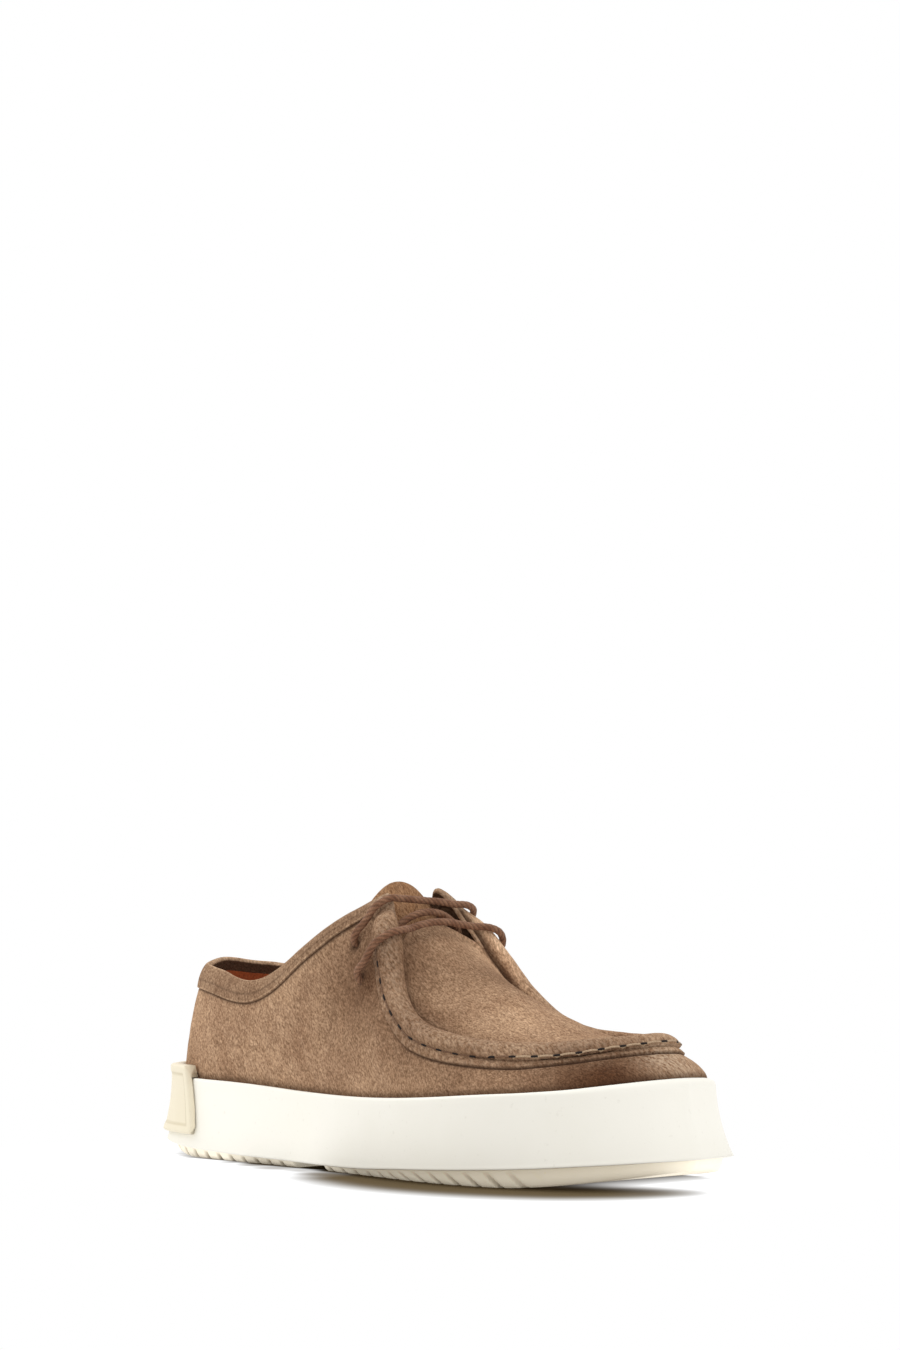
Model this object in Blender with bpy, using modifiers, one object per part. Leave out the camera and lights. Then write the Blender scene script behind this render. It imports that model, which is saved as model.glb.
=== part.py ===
"""Lace-up moccasin shoe, right foot: suede upper, cup sole, two treads, heel tab, insole and lace.

The toe points along +X, the wearer's outer side is -Y and +Z is up.
The tables below are written in millimetres for a sample last of 285 x 100 x 121;
the driving sizes stretch them to another last.
"""
import bmesh
import bpy
import numpy as np
from mathutils import Matrix, Vector

MM = 0.001

# Driving sizes of the shoe, millimetres
FEATHER_LENGTH = 285.0
BALL_WIDTH = 100.0
TONGUE_HEIGHT = 121.0
UPPER_WALL = 2.2
FIT_GAP = 0.35
RIM_THICKNESS = 3.5
LACE_DIAMETER = 3.0
EYELET_DIAMETER = 5.0
TONGUE_THICKNESS = 2.0
INSOLE_THICKNESS = 2.5
INSOLE_SIDE_GAP = 0.95
EYELET_BAR = 9.0
GROOVE_WIDTH = 2.2
GROOVE_DEPTH = 1.6

# Sample last that the tables are written for
SAMPLE_LENGTH = 285.0
SAMPLE_BALL = 100.0
SAMPLE_TONGUE = 121.0
SCALE_X = FEATHER_LENGTH / SAMPLE_LENGTH
SCALE_Y = BALL_WIDTH / SAMPLE_BALL
SCALE_Z = TONGUE_HEIGHT / SAMPLE_TONGUE

# Number of columns round the shoe and of steps across the plug
UPPER_COLUMNS = 94
SOLE_COLUMNS = 80
PLUG_STEPS = 10
# Columns of the fine wall that the eyelets are placed on
EYELET_COLUMNS = 400

# share of the length, outer half width, inner half width (shares of half the ball width)
FEATHER_LINE = [
    (0.000, 0.00, 0.00), (0.008, 0.20, 0.20), (0.045, 0.47, 0.47), (0.12, 0.66, 0.64),
    (0.22, 0.72, 0.68), (0.34, 0.75, 0.66), (0.46, 0.84, 0.68), (0.58, 0.95, 0.80),
    (0.68, 1.03, 0.93), (0.78, 1.01, 0.99), (0.87, 0.85, 0.945), (0.94, 0.60, 0.775),
    (0.985, 0.25, 0.47), (1.000, -0.06, 0.13),
]

# share of the length -> height of the rim of the cup
RIM_HEIGHT = [(0.0, 35.0), (0.1, 34.8), (0.22, 34.4), (0.4, 32.5), (0.5, 32.2), (0.6, 32.8),
              (0.7, 34.4), (0.8, 36.6), (0.87, 38.0), (0.92, 39.4), (0.96, 41.2), (1.0, 43.3)]
# share of the length -> height of the lower edge of the sidewall (heel lift, arch, toe spring)
BASE_HEIGHT = [(0.0, 6.8), (0.05, 6.2), (0.12, 4.9), (0.25, 3.5), (0.4, 3.0), (0.55, 3.1),
               (0.66, 4.8), (0.78, 6.6), (0.88, 8.4), (0.95, 10.2), (1.0, 11.6)]
# share of the length -> height of the underside of the treads
TREAD_HEIGHT = [(0.0, 2.0), (0.05, 1.2), (0.1, 0.0), (0.3, 0.0), (0.6, 0.0), (0.82, 0.0),
                (0.88, 0.9), (0.93, 2.6), (0.97, 4.6), (1.0, 6.6)]
# share of the length -> height of the floor inside the cup
FLOOR_HEIGHT = [(0.0, 19.5), (0.25, 18.0), (0.5, 13.8), (0.65, 12.8), (0.8, 15.0),
                (0.92, 18.6), (1.0, 21.5)]
# share of the length -> how far the foot of the sidewall flares outside the feather line
FLARE = [(0.0, 8.6), (0.06, 8.0), (0.16, 6.7), (0.3, 6.4), (0.7, 6.5), (0.82, 7.4),
         (0.92, 9.6), (1.0, 11.4)]

# Sections of the upper, a row each from the heel round to the toe.
# seam x, y, z: lower fold of the collar binding, then the stitched row of the moccasin seam
# edge x, y, z: top edge of the collar and facing, then the inner edge of the raised roll
# cut: distance from the seam down to the cut edge; step: its thickness; roll: height of the roll
OUTER_SECTIONS = [
    (-134.8, 0.0, 76.5, -131.2, 0.0, 86.5, 0.8, 0.9, 0.0),
    (-129.5, 15.8, 74.8, -126.6, 14.0, 84.2, 0.8, 0.9, 0.0),
    (-119.5, 21.2, 73.6, -117.6, 18.5, 82.8, 0.8, 0.9, 0.0),
    (-107.0, 25.0, 71.8, -106.2, 21.2, 81.1, 0.8, 0.9, 0.0),
    (-94.5, 28.0, 69.8, -94.6, 24.6, 78.6, 0.8, 0.9, 0.0),
    (-81.5, 30.0, 69.0, -83.0, 26.6, 77.3, 0.8, 0.9, 0.0),
    (-71.0, 31.0, 70.8, -73.0, 27.6, 78.7, 0.8, 0.9, 0.0),
    (-61.5, 31.6, 74.7, -64.0, 28.3, 82.0, 0.8, 0.9, 0.0),
    (-51.5, 32.2, 80.4, -54.2, 29.2, 86.8, 0.8, 0.9, 0.0),
    (-42.0, 32.3, 86.8, -44.8, 29.6, 92.2, 0.8, 0.9, 0.0),
    (-31.5, 31.0, 93.8, -34.4, 28.4, 98.9, 0.8, 0.9, 0.0),
    (-22.5, 28.4, 99.8, -25.0, 25.6, 104.9, 0.8, 0.9, 0.0),
    (-14.2, 24.8, 104.8, -15.8, 21.0, 110.3, 0.9, 0.8, 0.0),
    (-9.0, 22.6, 107.7, -9.5, 17.4, 114.2, 1.2, 0.8, 0.0),
    (-5.5, 22.8, 107.8, -4.5, 16.4, 115.6, 1.8, 0.8, 0.1),
    (-2.4, 25.0, 105.8, 0.2, 18.4, 110.8, 2.6, 0.9, 0.2),
    (-0.2, 27.8, 102.2, 4.0, 20.2, 106.2, 3.4, 1.0, 2.6),
    (2.4, 30.0, 97.6, 7.8, 21.8, 99.8, 4.0, 1.1, 3.8),
    (5.6, 32.0, 92.2, 11.2, 23.6, 93.4, 4.4, 1.2, 4.2),
    (10.2, 34.8, 85.0, 15.2, 27.0, 85.4, 4.5, 1.2, 4.3),
    (15.4, 38.0, 77.4, 19.9, 30.6, 77.0, 4.5, 1.2, 4.4),
    (21.2, 40.6, 70.4, 25.8, 33.6, 69.2, 4.5, 1.2, 4.3),
    (29.0, 42.6, 63.4, 33.0, 35.8, 63.4, 4.5, 1.2, 4.3),
    (38.5, 43.8, 57.2, 42.0, 37.0, 60.0, 4.5, 1.2, 4.3),
    (51.0, 44.2, 53.4, 53.0, 37.0, 57.0, 4.5, 1.2, 4.1),
    (66.0, 43.4, 51.0, 66.0, 35.8, 55.0, 4.5, 1.2, 3.9),
    (81.5, 40.0, 49.4, 79.0, 32.4, 54.0, 4.4, 1.2, 3.8),
    (95.0, 33.2, 48.9, 90.8, 26.2, 53.9, 4.2, 1.2, 3.7),
    (108.0, 22.2, 50.0, 102.2, 16.6, 54.4, 4.0, 1.2, 3.6),
    (119.5, 8.0, 52.4, 112.2, 4.4, 55.2, 3.8, 1.2, 3.5),
    (127.6, -11.5, 54.1, 118.6, -11.5, 55.8, 3.6, 1.2, 3.4),
]
INNER_SECTIONS = [
    (-134.8, 0.0, 76.5, -131.2, 0.0, 86.5, 0.8, 0.9, 0.0),
    (-129.5, 15.8, 75.5, -126.6, 14.0, 84.9, 0.8, 0.9, 0.0),
    (-119.5, 21.2, 74.8, -117.6, 18.5, 84.2, 0.8, 0.9, 0.0),
    (-107.0, 25.0, 73.5, -106.2, 21.2, 82.9, 0.8, 0.9, 0.0),
    (-94.5, 27.8, 72.0, -94.6, 24.4, 81.0, 0.8, 0.9, 0.0),
    (-81.5, 29.0, 71.5, -83.0, 25.8, 80.0, 0.8, 0.9, 0.0),
    (-71.0, 29.6, 73.4, -73.0, 26.4, 81.5, 0.8, 0.9, 0.0),
    (-61.5, 30.0, 77.3, -64.0, 26.9, 84.8, 0.8, 0.9, 0.0),
    (-51.5, 30.5, 83.1, -54.2, 27.6, 89.6, 0.8, 0.9, 0.0),
    (-42.0, 31.0, 89.6, -44.8, 28.2, 95.1, 0.8, 0.9, 0.0),
    (-31.5, 30.2, 96.8, -34.4, 27.5, 101.9, 0.8, 0.9, 0.0),
    (-22.5, 28.0, 102.9, -25.0, 25.2, 108.0, 0.8, 0.9, 0.0),
    (-14.2, 24.6, 108.0, -15.8, 21.0, 113.4, 0.9, 0.8, 0.0),
    (-9.4, 22.2, 110.8, -10.0, 17.0, 117.6, 1.2, 0.8, 0.0),
    (-6.4, 22.8, 110.2, -5.6, 17.0, 117.0, 1.8, 0.8, 0.1),
    (-4.0, 25.2, 107.2, -1.4, 19.2, 112.2, 2.6, 0.9, 0.6),
    (-1.4, 28.0, 102.8, 3.0, 20.8, 105.8, 3.4, 1.0, 2.2),
    (1.6, 30.2, 98.2, 8.0, 22.4, 99.4, 4.0, 1.1, 3.6),
    (5.0, 32.0, 92.8, 12.4, 23.8, 92.8, 4.4, 1.2, 4.6),
    (9.5, 34.2, 86.0, 16.8, 26.8, 85.0, 4.5, 1.2, 5.0),
    (15.0, 36.8, 78.4, 21.6, 30.2, 77.2, 4.5, 1.2, 5.0),
    (21.5, 38.8, 71.4, 27.7, 32.6, 70.0, 4.5, 1.2, 4.8),
    (30.0, 40.0, 64.8, 35.2, 34.0, 64.2, 4.5, 1.2, 4.5),
    (40.5, 40.8, 58.6, 44.0, 34.6, 60.2, 4.5, 1.2, 4.2),
    (53.0, 41.4, 54.6, 55.0, 34.8, 57.2, 4.5, 1.2, 3.9),
    (67.5, 42.0, 52.2, 67.0, 34.8, 55.4, 4.5, 1.2, 3.8),
    (82.5, 42.2, 50.8, 80.0, 34.6, 54.8, 4.4, 1.2, 3.7),
    (97.0, 40.4, 50.3, 92.0, 33.0, 54.7, 4.2, 1.2, 3.6),
    (110.0, 35.6, 50.8, 103.0, 29.4, 55.0, 4.0, 1.2, 3.5),
    (121.0, 25.8, 52.5, 112.6, 21.8, 55.4, 3.8, 1.2, 3.4),
]
# First row of the tables where the plug begins; the rows before it border the open throat
PLUG_ROW = 18
# Share of the columns of one side that stand behind the plug
PLUG_COLUMN_START = 0.56

# Plug, a row for each section from PLUG_ROW to the toe:
# height of the crest, how far the row bows back at its middle, fullness of the arch
PLUG_SECTIONS = [
    (104.4, -9.8, 1.8), (100.2, -8.2, 1.9), (95.0, -5.6, 2.0), (89.4, -3.4, 2.1),
    (84.0, -1.8, 2.1), (79.2, -0.8, 2.1), (74.8, 0.0, 2.0), (69.2, 0.0, 2.0),
    (63.2, 0.0, 2.0), (59.0, 0.0, 2.0), (57.4, 0.0, 2.0), (56.6, 0.0, 2.0), (55.8, 0.0, 2.0),
]

# Tongue centre line from under the plug to its top: x, height, half width, drop at the sides
TONGUE_SECTIONS = [
    (24.0, 81.8, 15.0, 4.0), (17.0, 86.0, 17.5, 6.0), (9.0, 91.2, 18.8, 8.0), (2.6, 95.4, 19.0, 9.0),
    (-4.6, 103.2, 19.2, 10.5), (-9.5, 111.6, 19.0, 11.0), (-13.5, 117.6, 18.0, 10.3),
    (-16.4, 121.0, 15.5, 8.4),
]

TONGUE_ROWS = 13
TONGUE_COLUMNS = 11

# Eyelet holes: side (-1 outer, 1 inner), x and height on the quarter
EYELETS = [(-1, -12.7, 95.2), (-1, -2.7, 80.4), (1, -11.5, 98.6), (1, -1.4, 84.0)]

# Centre line of the lace, x, y, z, from its hidden end at the inner top eyelet
LACE_PATH = [
    (-8.0, 21.0, 92.0), (-12.5, 22.0, 98.0), (-10.5, 28.5, 100.0), (-4.5, 30.5, 103.5),
    (0.5, 29.0, 108.5), (3.5, 22.5, 111.0), (3.0, 15.0, 111.5), (2.5, 7.5, 112.5),
    (2.0, 0.0, 113.0), (1.5, -7.5, 113.5), (1.0, -14.5, 114.0), (0.0, -20.5, 114.0),
    (-3.0, -25.5, 110.5), (-6.5, -28.0, 104.5), (-10.5, -30.0, 99.0), (-13.5, -27.0, 95.0),
    (-10.5, -22.0, 94.0), (-4.0, -21.5, 98.0), (1.5, -17.5, 102.0), (3.5, -11.5, 106.0),
    (4.0, -4.5, 108.0), (4.0, 3.0, 108.0), (3.5, 10.0, 106.0), (2.5, 16.5, 102.0),
    (0.5, 21.0, 96.5), (-0.5, 24.0, 90.0), (0.0, 27.0, 83.5), (-2.0, 34.0, 84.0),
    (4.0, 37.0, 88.5), (9.0, 38.0, 94.0), (12.5, 33.5, 99.0), (13.0, 26.5, 101.5),
    (11.0, 19.0, 102.0), (10.5, 11.5, 103.0), (10.5, 4.0, 104.0), (10.0, -3.5, 104.0),
    (10.0, -11.0, 103.0), (10.5, -18.0, 101.5), (13.0, -25.0, 101.0), (12.5, -32.0, 99.5),
    (8.5, -37.0, 95.0), (4.0, -37.5, 88.5), (-1.5, -37.0, 83.5), (-2.5, -34.0, 79.5),
    (-1.5, -28.5, 79.0), (-4.5, -25.0, 82.0), (-9.0, -24.5, 87.0),
]
# Points of the smooth line laid through them
LACE_SAMPLES = 62

# Ends of the treads along the shoe, and their rows of grooves: first bar, pitch, how many, lean
HEEL_PAD_END = -37.5
FORE_PAD_START = -14.5
HEEL_GROOVES = (-134.0, 8.7, 11, 0.0)
FORE_GROOVES = (-6.0, 9.6, 14, 0.12)
GROOVE_REACH = 140.0
GROOVE_BAR_HEIGHT = 8.0

# Foot of the cup sole: offset from the flare, height above the lower edge, inside first
RECESS = 2.0
CUP_FOOT = [(-3.4, RECESS), (-3.0, 0.0), (-0.6, 0.0), (0.0, 0.8)]
SIDEWALL_SHARES = [0.1, 0.22, 0.42, 0.68, 0.93]
# Rim of the cup: offset from the feather line, depth under the top of the rim
CUP_RIM = [(2.7, 0.2), (1.9, 0.0), (0.65, 0.3), (FIT_GAP, 1.2)]

# How far the treads stay inside the foot of the sidewall, and the bevel of their side
TREAD_INSET = 3.9
TREAD_BEVEL = 1.3
TREAD_CHAMFER = 1.2

# Heel tab: share of the half outline it reaches at foot and top, its foot above the lower edge
# of the sidewall and its top above the rim, thickness of its field and of its border, gap of
# its lip to the upper and of its back to the sidewall, then its columns and rows in shares;
# the close pairs make the border
TAB_LOW_REACH = 0.176
TAB_TOP_REACH = 0.150
TAB_ABOVE_BASE = 3.8
TAB_ABOVE_RIM = 5.2
TAB_FIELD = 1.7
TAB_BORDER = 2.7
TAB_LIP_GAP = 0.9
TAB_GAP = 0.45
TAB_COLUMNS = [-1.0, -0.985, -0.90, -0.885, -0.75, -0.6, -0.45, -0.3, -0.15, 0.0,
               0.15, 0.3, 0.45, 0.6, 0.75, 0.885, 0.90, 0.985, 1.0]
TAB_ROWS = [0.0, 0.02, 0.11, 0.125, 0.4, 0.7, 0.845, 0.86, 0.98, 1.0]
TAB_BACK_ROWS = [0.0, 0.2, 0.42]


def table_value(table, at):
    """Smooth value of a two-column table at each share."""
    xs = np.array([row[0] for row in table], float)
    ys = np.array([row[1] for row in table], float)
    at = np.clip(np.asarray(at, float), xs[0], xs[-1])
    slopes = np.gradient(ys, xs)
    step = np.diff(xs)
    secant = np.diff(ys) / step
    for k in range(len(secant)):
        if abs(secant[k]) < 1e-9:
            slopes[k] = 0.0
            slopes[k + 1] = 0.0
    i = np.clip(np.searchsorted(xs, at) - 1, 0, len(xs) - 2)
    t = (at - xs[i]) / step[i]
    a = 2 * t**3 - 3 * t**2 + 1
    b = (t**3 - 2 * t**2 + t) * step[i]
    c = -2 * t**3 + 3 * t**2
    d = (t**3 - t**2) * step[i]
    return a * ys[i] + b * slopes[i] + c * ys[i + 1] + d * slopes[i + 1]


def through_rows(rows, at, closed):
    """Curve through rows of numbers at row positions, Catmull-Rom."""
    rows = np.asarray(rows, float)
    count = len(rows)
    at = np.asarray(at, float)
    i = np.floor(at).astype(int)
    if not closed:
        i = np.clip(i, 0, count - 2)
    t = (at - i)[:, None]
    if closed:
        a, b, c, d = (rows[(i + k) % count] for k in (-1, 0, 1, 2))
    else:
        first = 2 * rows[0] - rows[1]
        last = 2 * rows[-1] - rows[-2]
        padded = np.vstack([first, rows, last])
        a, b, c, d = (padded[i + k] for k in (0, 1, 2, 3))
    return 0.5 * (2 * b + (c - a) * t + (2 * a - 5 * b + 4 * c - d) * t**2
                  + (3 * b - a - 3 * c + d) * t**3)


def feather_curve(count):
    """Closed feather line: outer side first, from the heel; both halves in equal steps."""
    outer = [((s - 0.5) * FEATHER_LENGTH, -a * BALL_WIDTH / 2) for s, a, b in FEATHER_LINE]
    inner = [((s - 0.5) * FEATHER_LENGTH, b * BALL_WIDTH / 2) for s, a, b in FEATHER_LINE[1:]]
    rows = np.array(outer + inner[::-1])
    fine = through_rows(rows, np.arange(0, len(rows), 0.01), True)
    tip = int(fine[:, 0].argmax())
    halves = []
    for part in (fine[:tip + 1], np.vstack([fine[tip:], fine[:1]])):
        run = np.r_[0, np.cumsum(np.linalg.norm(np.diff(part, axis=0), axis=1))]
        at = np.linspace(0, run[-1], count // 2 + 1)[:-1]
        halves.append(np.c_[np.interp(at, run, part[:, 0]), np.interp(at, run, part[:, 1])])
    return np.vstack(halves)


def share_of(points):
    """Share of the length of the shoe, 0 at the heel and 1 at the toe."""
    return np.clip(points[:, 0] / FEATHER_LENGTH + 0.5, 0.0, 1.0)


def outward(points):
    """Unit normals in plan of a closed line that runs heel, outer side, toe."""
    run = np.roll(points, -1, axis=0) - np.roll(points, 1, axis=0)
    run = run / np.linalg.norm(run, axis=1)[:, None]
    return np.c_[run[:, 1], -run[:, 0]]


def section_rows():
    """All sections as one closed loop, outer side first, in millimetres of this last."""
    rows = []
    for row in OUTER_SECTIONS:
        rows.append((row[0], -row[1], row[2], row[3], -row[4], row[5]) + tuple(row[6:]))
    for row in INNER_SECTIONS[:0:-1]:
        rows.append(tuple(row))
    rows = np.array(rows, float)
    rows[:, [0, 3]] *= SCALE_X
    rows[:, [1, 4]] *= SCALE_Y
    rows[:, [2, 5]] *= SCALE_Z
    return rows


def height_of(table, share):
    """Height from a table, for this last."""
    return table_value(table, share) * SCALE_Z


def mesh_normals(points, faces):
    """Vertex normals of a mesh of quads and triangles."""
    normals = np.zeros_like(points)
    for face in faces:
        corner = points[list(face)]
        if len(face) == 4:
            across = np.cross(corner[2] - corner[0], corner[3] - corner[1])
        else:
            across = np.cross(corner[1] - corner[0], corner[2] - corner[0])
        for index in face:
            normals[index] += across
    length = np.linalg.norm(normals, axis=1)
    return normals / np.maximum(length, 1e-12)[:, None]


WALL_SHARES = [0.0, 0.5, 1.0]
RISE_SHARES = [0.2, 0.42, 0.64, 0.84, 1.0]
ROLL_SHARES = [0.08, 0.22, 0.40, 0.58, 0.76, 0.90, 1.0]
# Points of the fine feather line that the columns are laid out from
FINE_POINTS = 2400
# How the wall leans in towards the seam, and how far its foot stands above the rim
WALL_LEAN = 1.6
RIM_STAND = 0.6
# Height over which the cut edge steps out
EDGE_STEP = 0.35


def inner_row_numbers():
    """Rows of the middle surface that the inner skin keeps."""
    every_second = [0, 2, 4, 6]
    seam_and_roll = [7, 9, 12, 14, 16]
    return every_second + seam_and_roll


def column_rows(columns):
    """Row position of each column, in even steps along the shoe, the same on both sides."""
    loop = section_rows()
    half = len(loop) // 2
    fine = feather_curve(FINE_POINTS)
    seam = loop[:half + 1, 0:2]
    near = np.linalg.norm(seam[:, None] - fine[None], axis=2).argmin(axis=1)
    foot = fine[near]
    step = np.maximum(np.linalg.norm(np.diff(foot, axis=0), axis=1),
                      np.linalg.norm(np.diff(loop[:half + 1, 0:3], axis=0), axis=1))
    run = np.r_[0, np.cumsum(step)]
    open_columns = int(round(columns / 2 * PLUG_COLUMN_START))
    rear = np.interp(np.linspace(0, run[PLUG_ROW], open_columns + 1), run, np.arange(half + 1))
    front = np.interp(np.linspace(run[PLUG_ROW], run[half], columns // 2 - open_columns + 1),
                      run, np.arange(half + 1))
    one_side = np.r_[rear[:-1], front]
    return np.r_[one_side, len(loop) - one_side[-2:0:-1]], open_columns


def upper_grid(columns):
    """Middle surface of the upper: columns by rows of points, and the step at each of them."""
    loop = section_rows()
    at, _ = column_rows(columns)
    rows = through_rows(loop, at, True)
    seam, edge = rows[:, 0:3], rows[:, 3:6]
    cut, step, roll = rows[:, 6], rows[:, 7], np.maximum(rows[:, 8], 0.0)
    fine = feather_curve(FINE_POINTS)
    near = np.linalg.norm(seam[:, None, 0:2] - fine[None], axis=2).argmin(axis=1)
    near[0] = 0
    foot_at = near.astype(float)
    for _ in range(2):
        turned = np.unwrap(foot_at * 2 * np.pi / FINE_POINTS) * FINE_POINTS / (2 * np.pi)
        padded = np.r_[turned[-1] - FINE_POINTS, turned, turned[0] + FINE_POINTS]
        foot_at = 0.25 * padded[:-2] + 0.5 * padded[1:-1] + 0.25 * padded[2:]
    wrapped = np.vstack([fine, fine[:1]])
    foot_at = foot_at % FINE_POINTS
    index = np.arange(FINE_POINTS + 1)
    foot = np.c_[np.interp(foot_at, index, wrapped[:, 0]), np.interp(foot_at, index, wrapped[:, 1])]
    share = share_of(foot)
    low = height_of(FLOOR_HEIGHT, share) + FIT_GAP
    rim = height_of(RIM_HEIGHT, share) + RIM_STAND
    top = seam[:, 2]

    def wall_point(height):
        gain = np.clip((height - rim) / (top - rim), 0.0, 1.0) ** WALL_LEAN
        plan = foot + (seam[:, 0:2] - foot) * gain[:, None]
        return np.c_[plan, height]

    inset = np.linalg.norm(seam[:, 0:2] - foot, axis=1)
    slope = np.hypot(1.0, inset * WALL_LEAN / (top - rim))
    cut_height = top - cut / slope
    points, steps = [], []
    for s in WALL_SHARES:
        points.append(wall_point(low + (rim - low) * s))
        steps.append(np.zeros(columns))
    for s in RISE_SHARES:
        points.append(wall_point(rim + (cut_height - rim) * s))
        steps.append(np.zeros(columns))
    points.append(wall_point(cut_height + EDGE_STEP))
    steps.append(step)
    points.append(seam.copy())
    steps.append(step)
    chord = edge - seam
    along = np.roll(seam, -1, axis=0) - np.roll(seam, 1, axis=0)
    side = np.cross(along, chord)
    side = side / np.linalg.norm(side, axis=1)[:, None]
    bulge = 0.05 + 0.10 * np.clip(roll / 3.0, 0, 1)
    for s in ROLL_SHARES:
        lift = side * (np.linalg.norm(chord, axis=1) * bulge * 4 * s * (1 - s))[:, None]
        points.append(seam + chord * s + lift)
        hump = np.sqrt(max(0.0, 1 - (2 * s - 1) ** 2)) ** 0.8
        flat = np.where(roll > 0.5, 1 - s, 1.0 - 0.45 * s**6)
        steps.append(step * flat + roll * hump)
    return np.stack(points, axis=1), np.stack(steps, axis=1)


def plug_rows(columns, steps_across, outer_edge, inner_edge, positions):
    """Rows of points across the plug between the two rolls, ends left out."""
    data = through_rows(PLUG_SECTIONS, positions, False)
    across = np.linspace(0, 1, steps_across + 1)[1:-1]
    grid = []
    for k in range(len(positions)):
        start, end = outer_edge[k], inner_edge[k]
        line = start[None] + (end - start)[None] * across[:, None]
        arch = 1 - np.abs(2 * across - 1) ** data[k, 2]
        line[:, 0] += data[k, 1] * SCALE_X * (1 - (2 * across - 1) ** 2)
        crest = data[k, 0] * SCALE_Z
        rise = crest - 0.5 * (start[2] + end[2])
        line[:, 2] += rise * arch
        grid.append(line)
    return np.array(grid)


def make_object(name, points, faces, collection, material):
    """Mesh object in metres from points in millimetres."""
    mesh = bpy.data.meshes.new(name)
    mesh.from_pydata([tuple(p) for p in np.asarray(points) * MM], [], [tuple(f) for f in faces])
    mesh.update()
    made = bpy.data.objects.new(name, mesh)
    collection.objects.link(made)
    if material is not None:
        mesh.materials.append(material)
    return made


def signed_volume(points, faces):
    """Volume of a closed mesh, positive when its faces look outwards."""
    total = 0.0
    for face in faces:
        a = points[face[0]]
        for k in range(1, len(face) - 1):
            total += np.dot(a, np.cross(points[face[k]], points[face[k + 1]])) / 6
    return total


def facing_out(points, faces):
    """The faces, turned round if they look inwards."""
    if signed_volume(points, faces) < 0:
        return [tuple(reversed(face)) for face in faces]
    return faces


def upper_surface(columns, steps_across):
    """Points, steps and faces of the middle surface of wall, roll and plug."""
    grid, steps = upper_grid(columns)
    rows_up = grid.shape[1]
    at, first = column_rows(columns)
    half = columns // 2
    points = list(grid.reshape(-1, 3))
    levels = list(steps.reshape(-1))
    edge = rows_up - 1
    plug_index = {}
    order = np.arange(first, half)
    positions = at[order] - PLUG_ROW
    inner = plug_rows(columns, steps_across, grid[order, edge], grid[columns - order, edge], positions)
    for k, i in enumerate(order):
        ids = [i * rows_up + edge]
        for point in inner[k]:
            ids.append(len(points))
            points.append(point)
            levels.append(0.0)
        ids.append((columns - i) * rows_up + edge)
        plug_index[i] = ids
    return np.array(points), np.array(levels), rows_up, plug_index, first, half


def upper_faces(columns, row_list, rows_up, plug_index, first, half):
    """Faces of one skin of the upper through the chosen rows."""
    faces = []
    for i in range(columns):
        j = (i + 1) % columns
        for low, high in zip(row_list[:-1], row_list[1:]):
            faces.append((i * rows_up + low, j * rows_up + low, j * rows_up + high, i * rows_up + high))
    for i in range(first, half - 1):
        a, b = plug_index[i], plug_index[i + 1]
        for k in range(len(a) - 1):
            faces.append((a[k], b[k], b[k + 1], a[k + 1]))
    last = plug_index[half - 1]
    tip = half * rows_up + rows_up - 1
    for k in range(len(last) - 1):
        faces.append((last[k], tip, last[k + 1]))
    return faces


def build_upper(collection, material):
    """The upper: one closed solid between an outer and an inner skin."""
    columns = UPPER_COLUMNS
    points, levels, rows_up, plug_index, first, half = upper_surface(columns, PLUG_STEPS)
    faces = upper_faces(columns, list(range(rows_up)), rows_up, plug_index, first, half)
    inner_faces = upper_faces(columns, inner_row_numbers(), rows_up, plug_index, first, half)
    normals = mesh_normals(points, faces)
    if signed_volume(points, faces) < 0:
        normals = -normals
    inner_normals = mesh_normals(points, inner_faces)
    flip = np.sign((inner_normals * normals).sum(axis=1))
    inner_normals = inner_normals * flip[:, None]
    outer = points + normals * levels[:, None]
    inside = points - inner_normals * UPPER_WALL
    low_row = np.arange(columns) * rows_up
    outer[low_row, 2] = points[low_row, 2]
    inside[low_row, 2] = points[low_row, 2]
    used = sorted({index for face in inner_faces for index in face})
    renumber = {index: len(points) + k for k, index in enumerate(used)}
    everything = np.vstack([outer, inside[used]])
    solid = list(faces)
    for face in inner_faces:
        solid.append(tuple(renumber[index] for index in reversed(face)))
    top = rows_up - 1
    for i in range(columns):
        j = (i + 1) % columns
        a, b = i * rows_up, j * rows_up
        solid.append((b, a, renumber[a], renumber[b]))
        if i < first or i >= columns - first:
            a, b = a + top, b + top
            solid.append((a, b, renumber[b], renumber[a]))
    rear = plug_index[first]
    for a, b in zip(rear[:-1], rear[1:]):
        solid.append((a, b, renumber[b], renumber[a]))
    return make_object("upper", everything, facing_out(everything, solid), collection, material)


def ring_loop(columns, first, last):
    """Columns of the outline that border a pad, outer side then inner side."""
    half = columns // 2
    outer = list(range(first, last + 1))
    inner = [columns - i for i in range(last, first - 1, -1) if i not in (0, half)]
    return [i % columns for i in outer + inner]


def cap_faces(ids, base, columns, first, last):
    """Strips across a pad between the outer and the inner side."""
    where = {column: base + k for k, column in enumerate(ids)}
    faces = []
    for i in range(first, last):
        a, b = where[i % columns], where[(i + 1) % columns]
        c, d = where[(columns - i - 1) % columns], where[(columns - i) % columns]
        face = []
        for index in (a, b, c, d):
            if index not in face:
                face.append(index)
        faces.append(tuple(face))
    return faces


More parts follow.
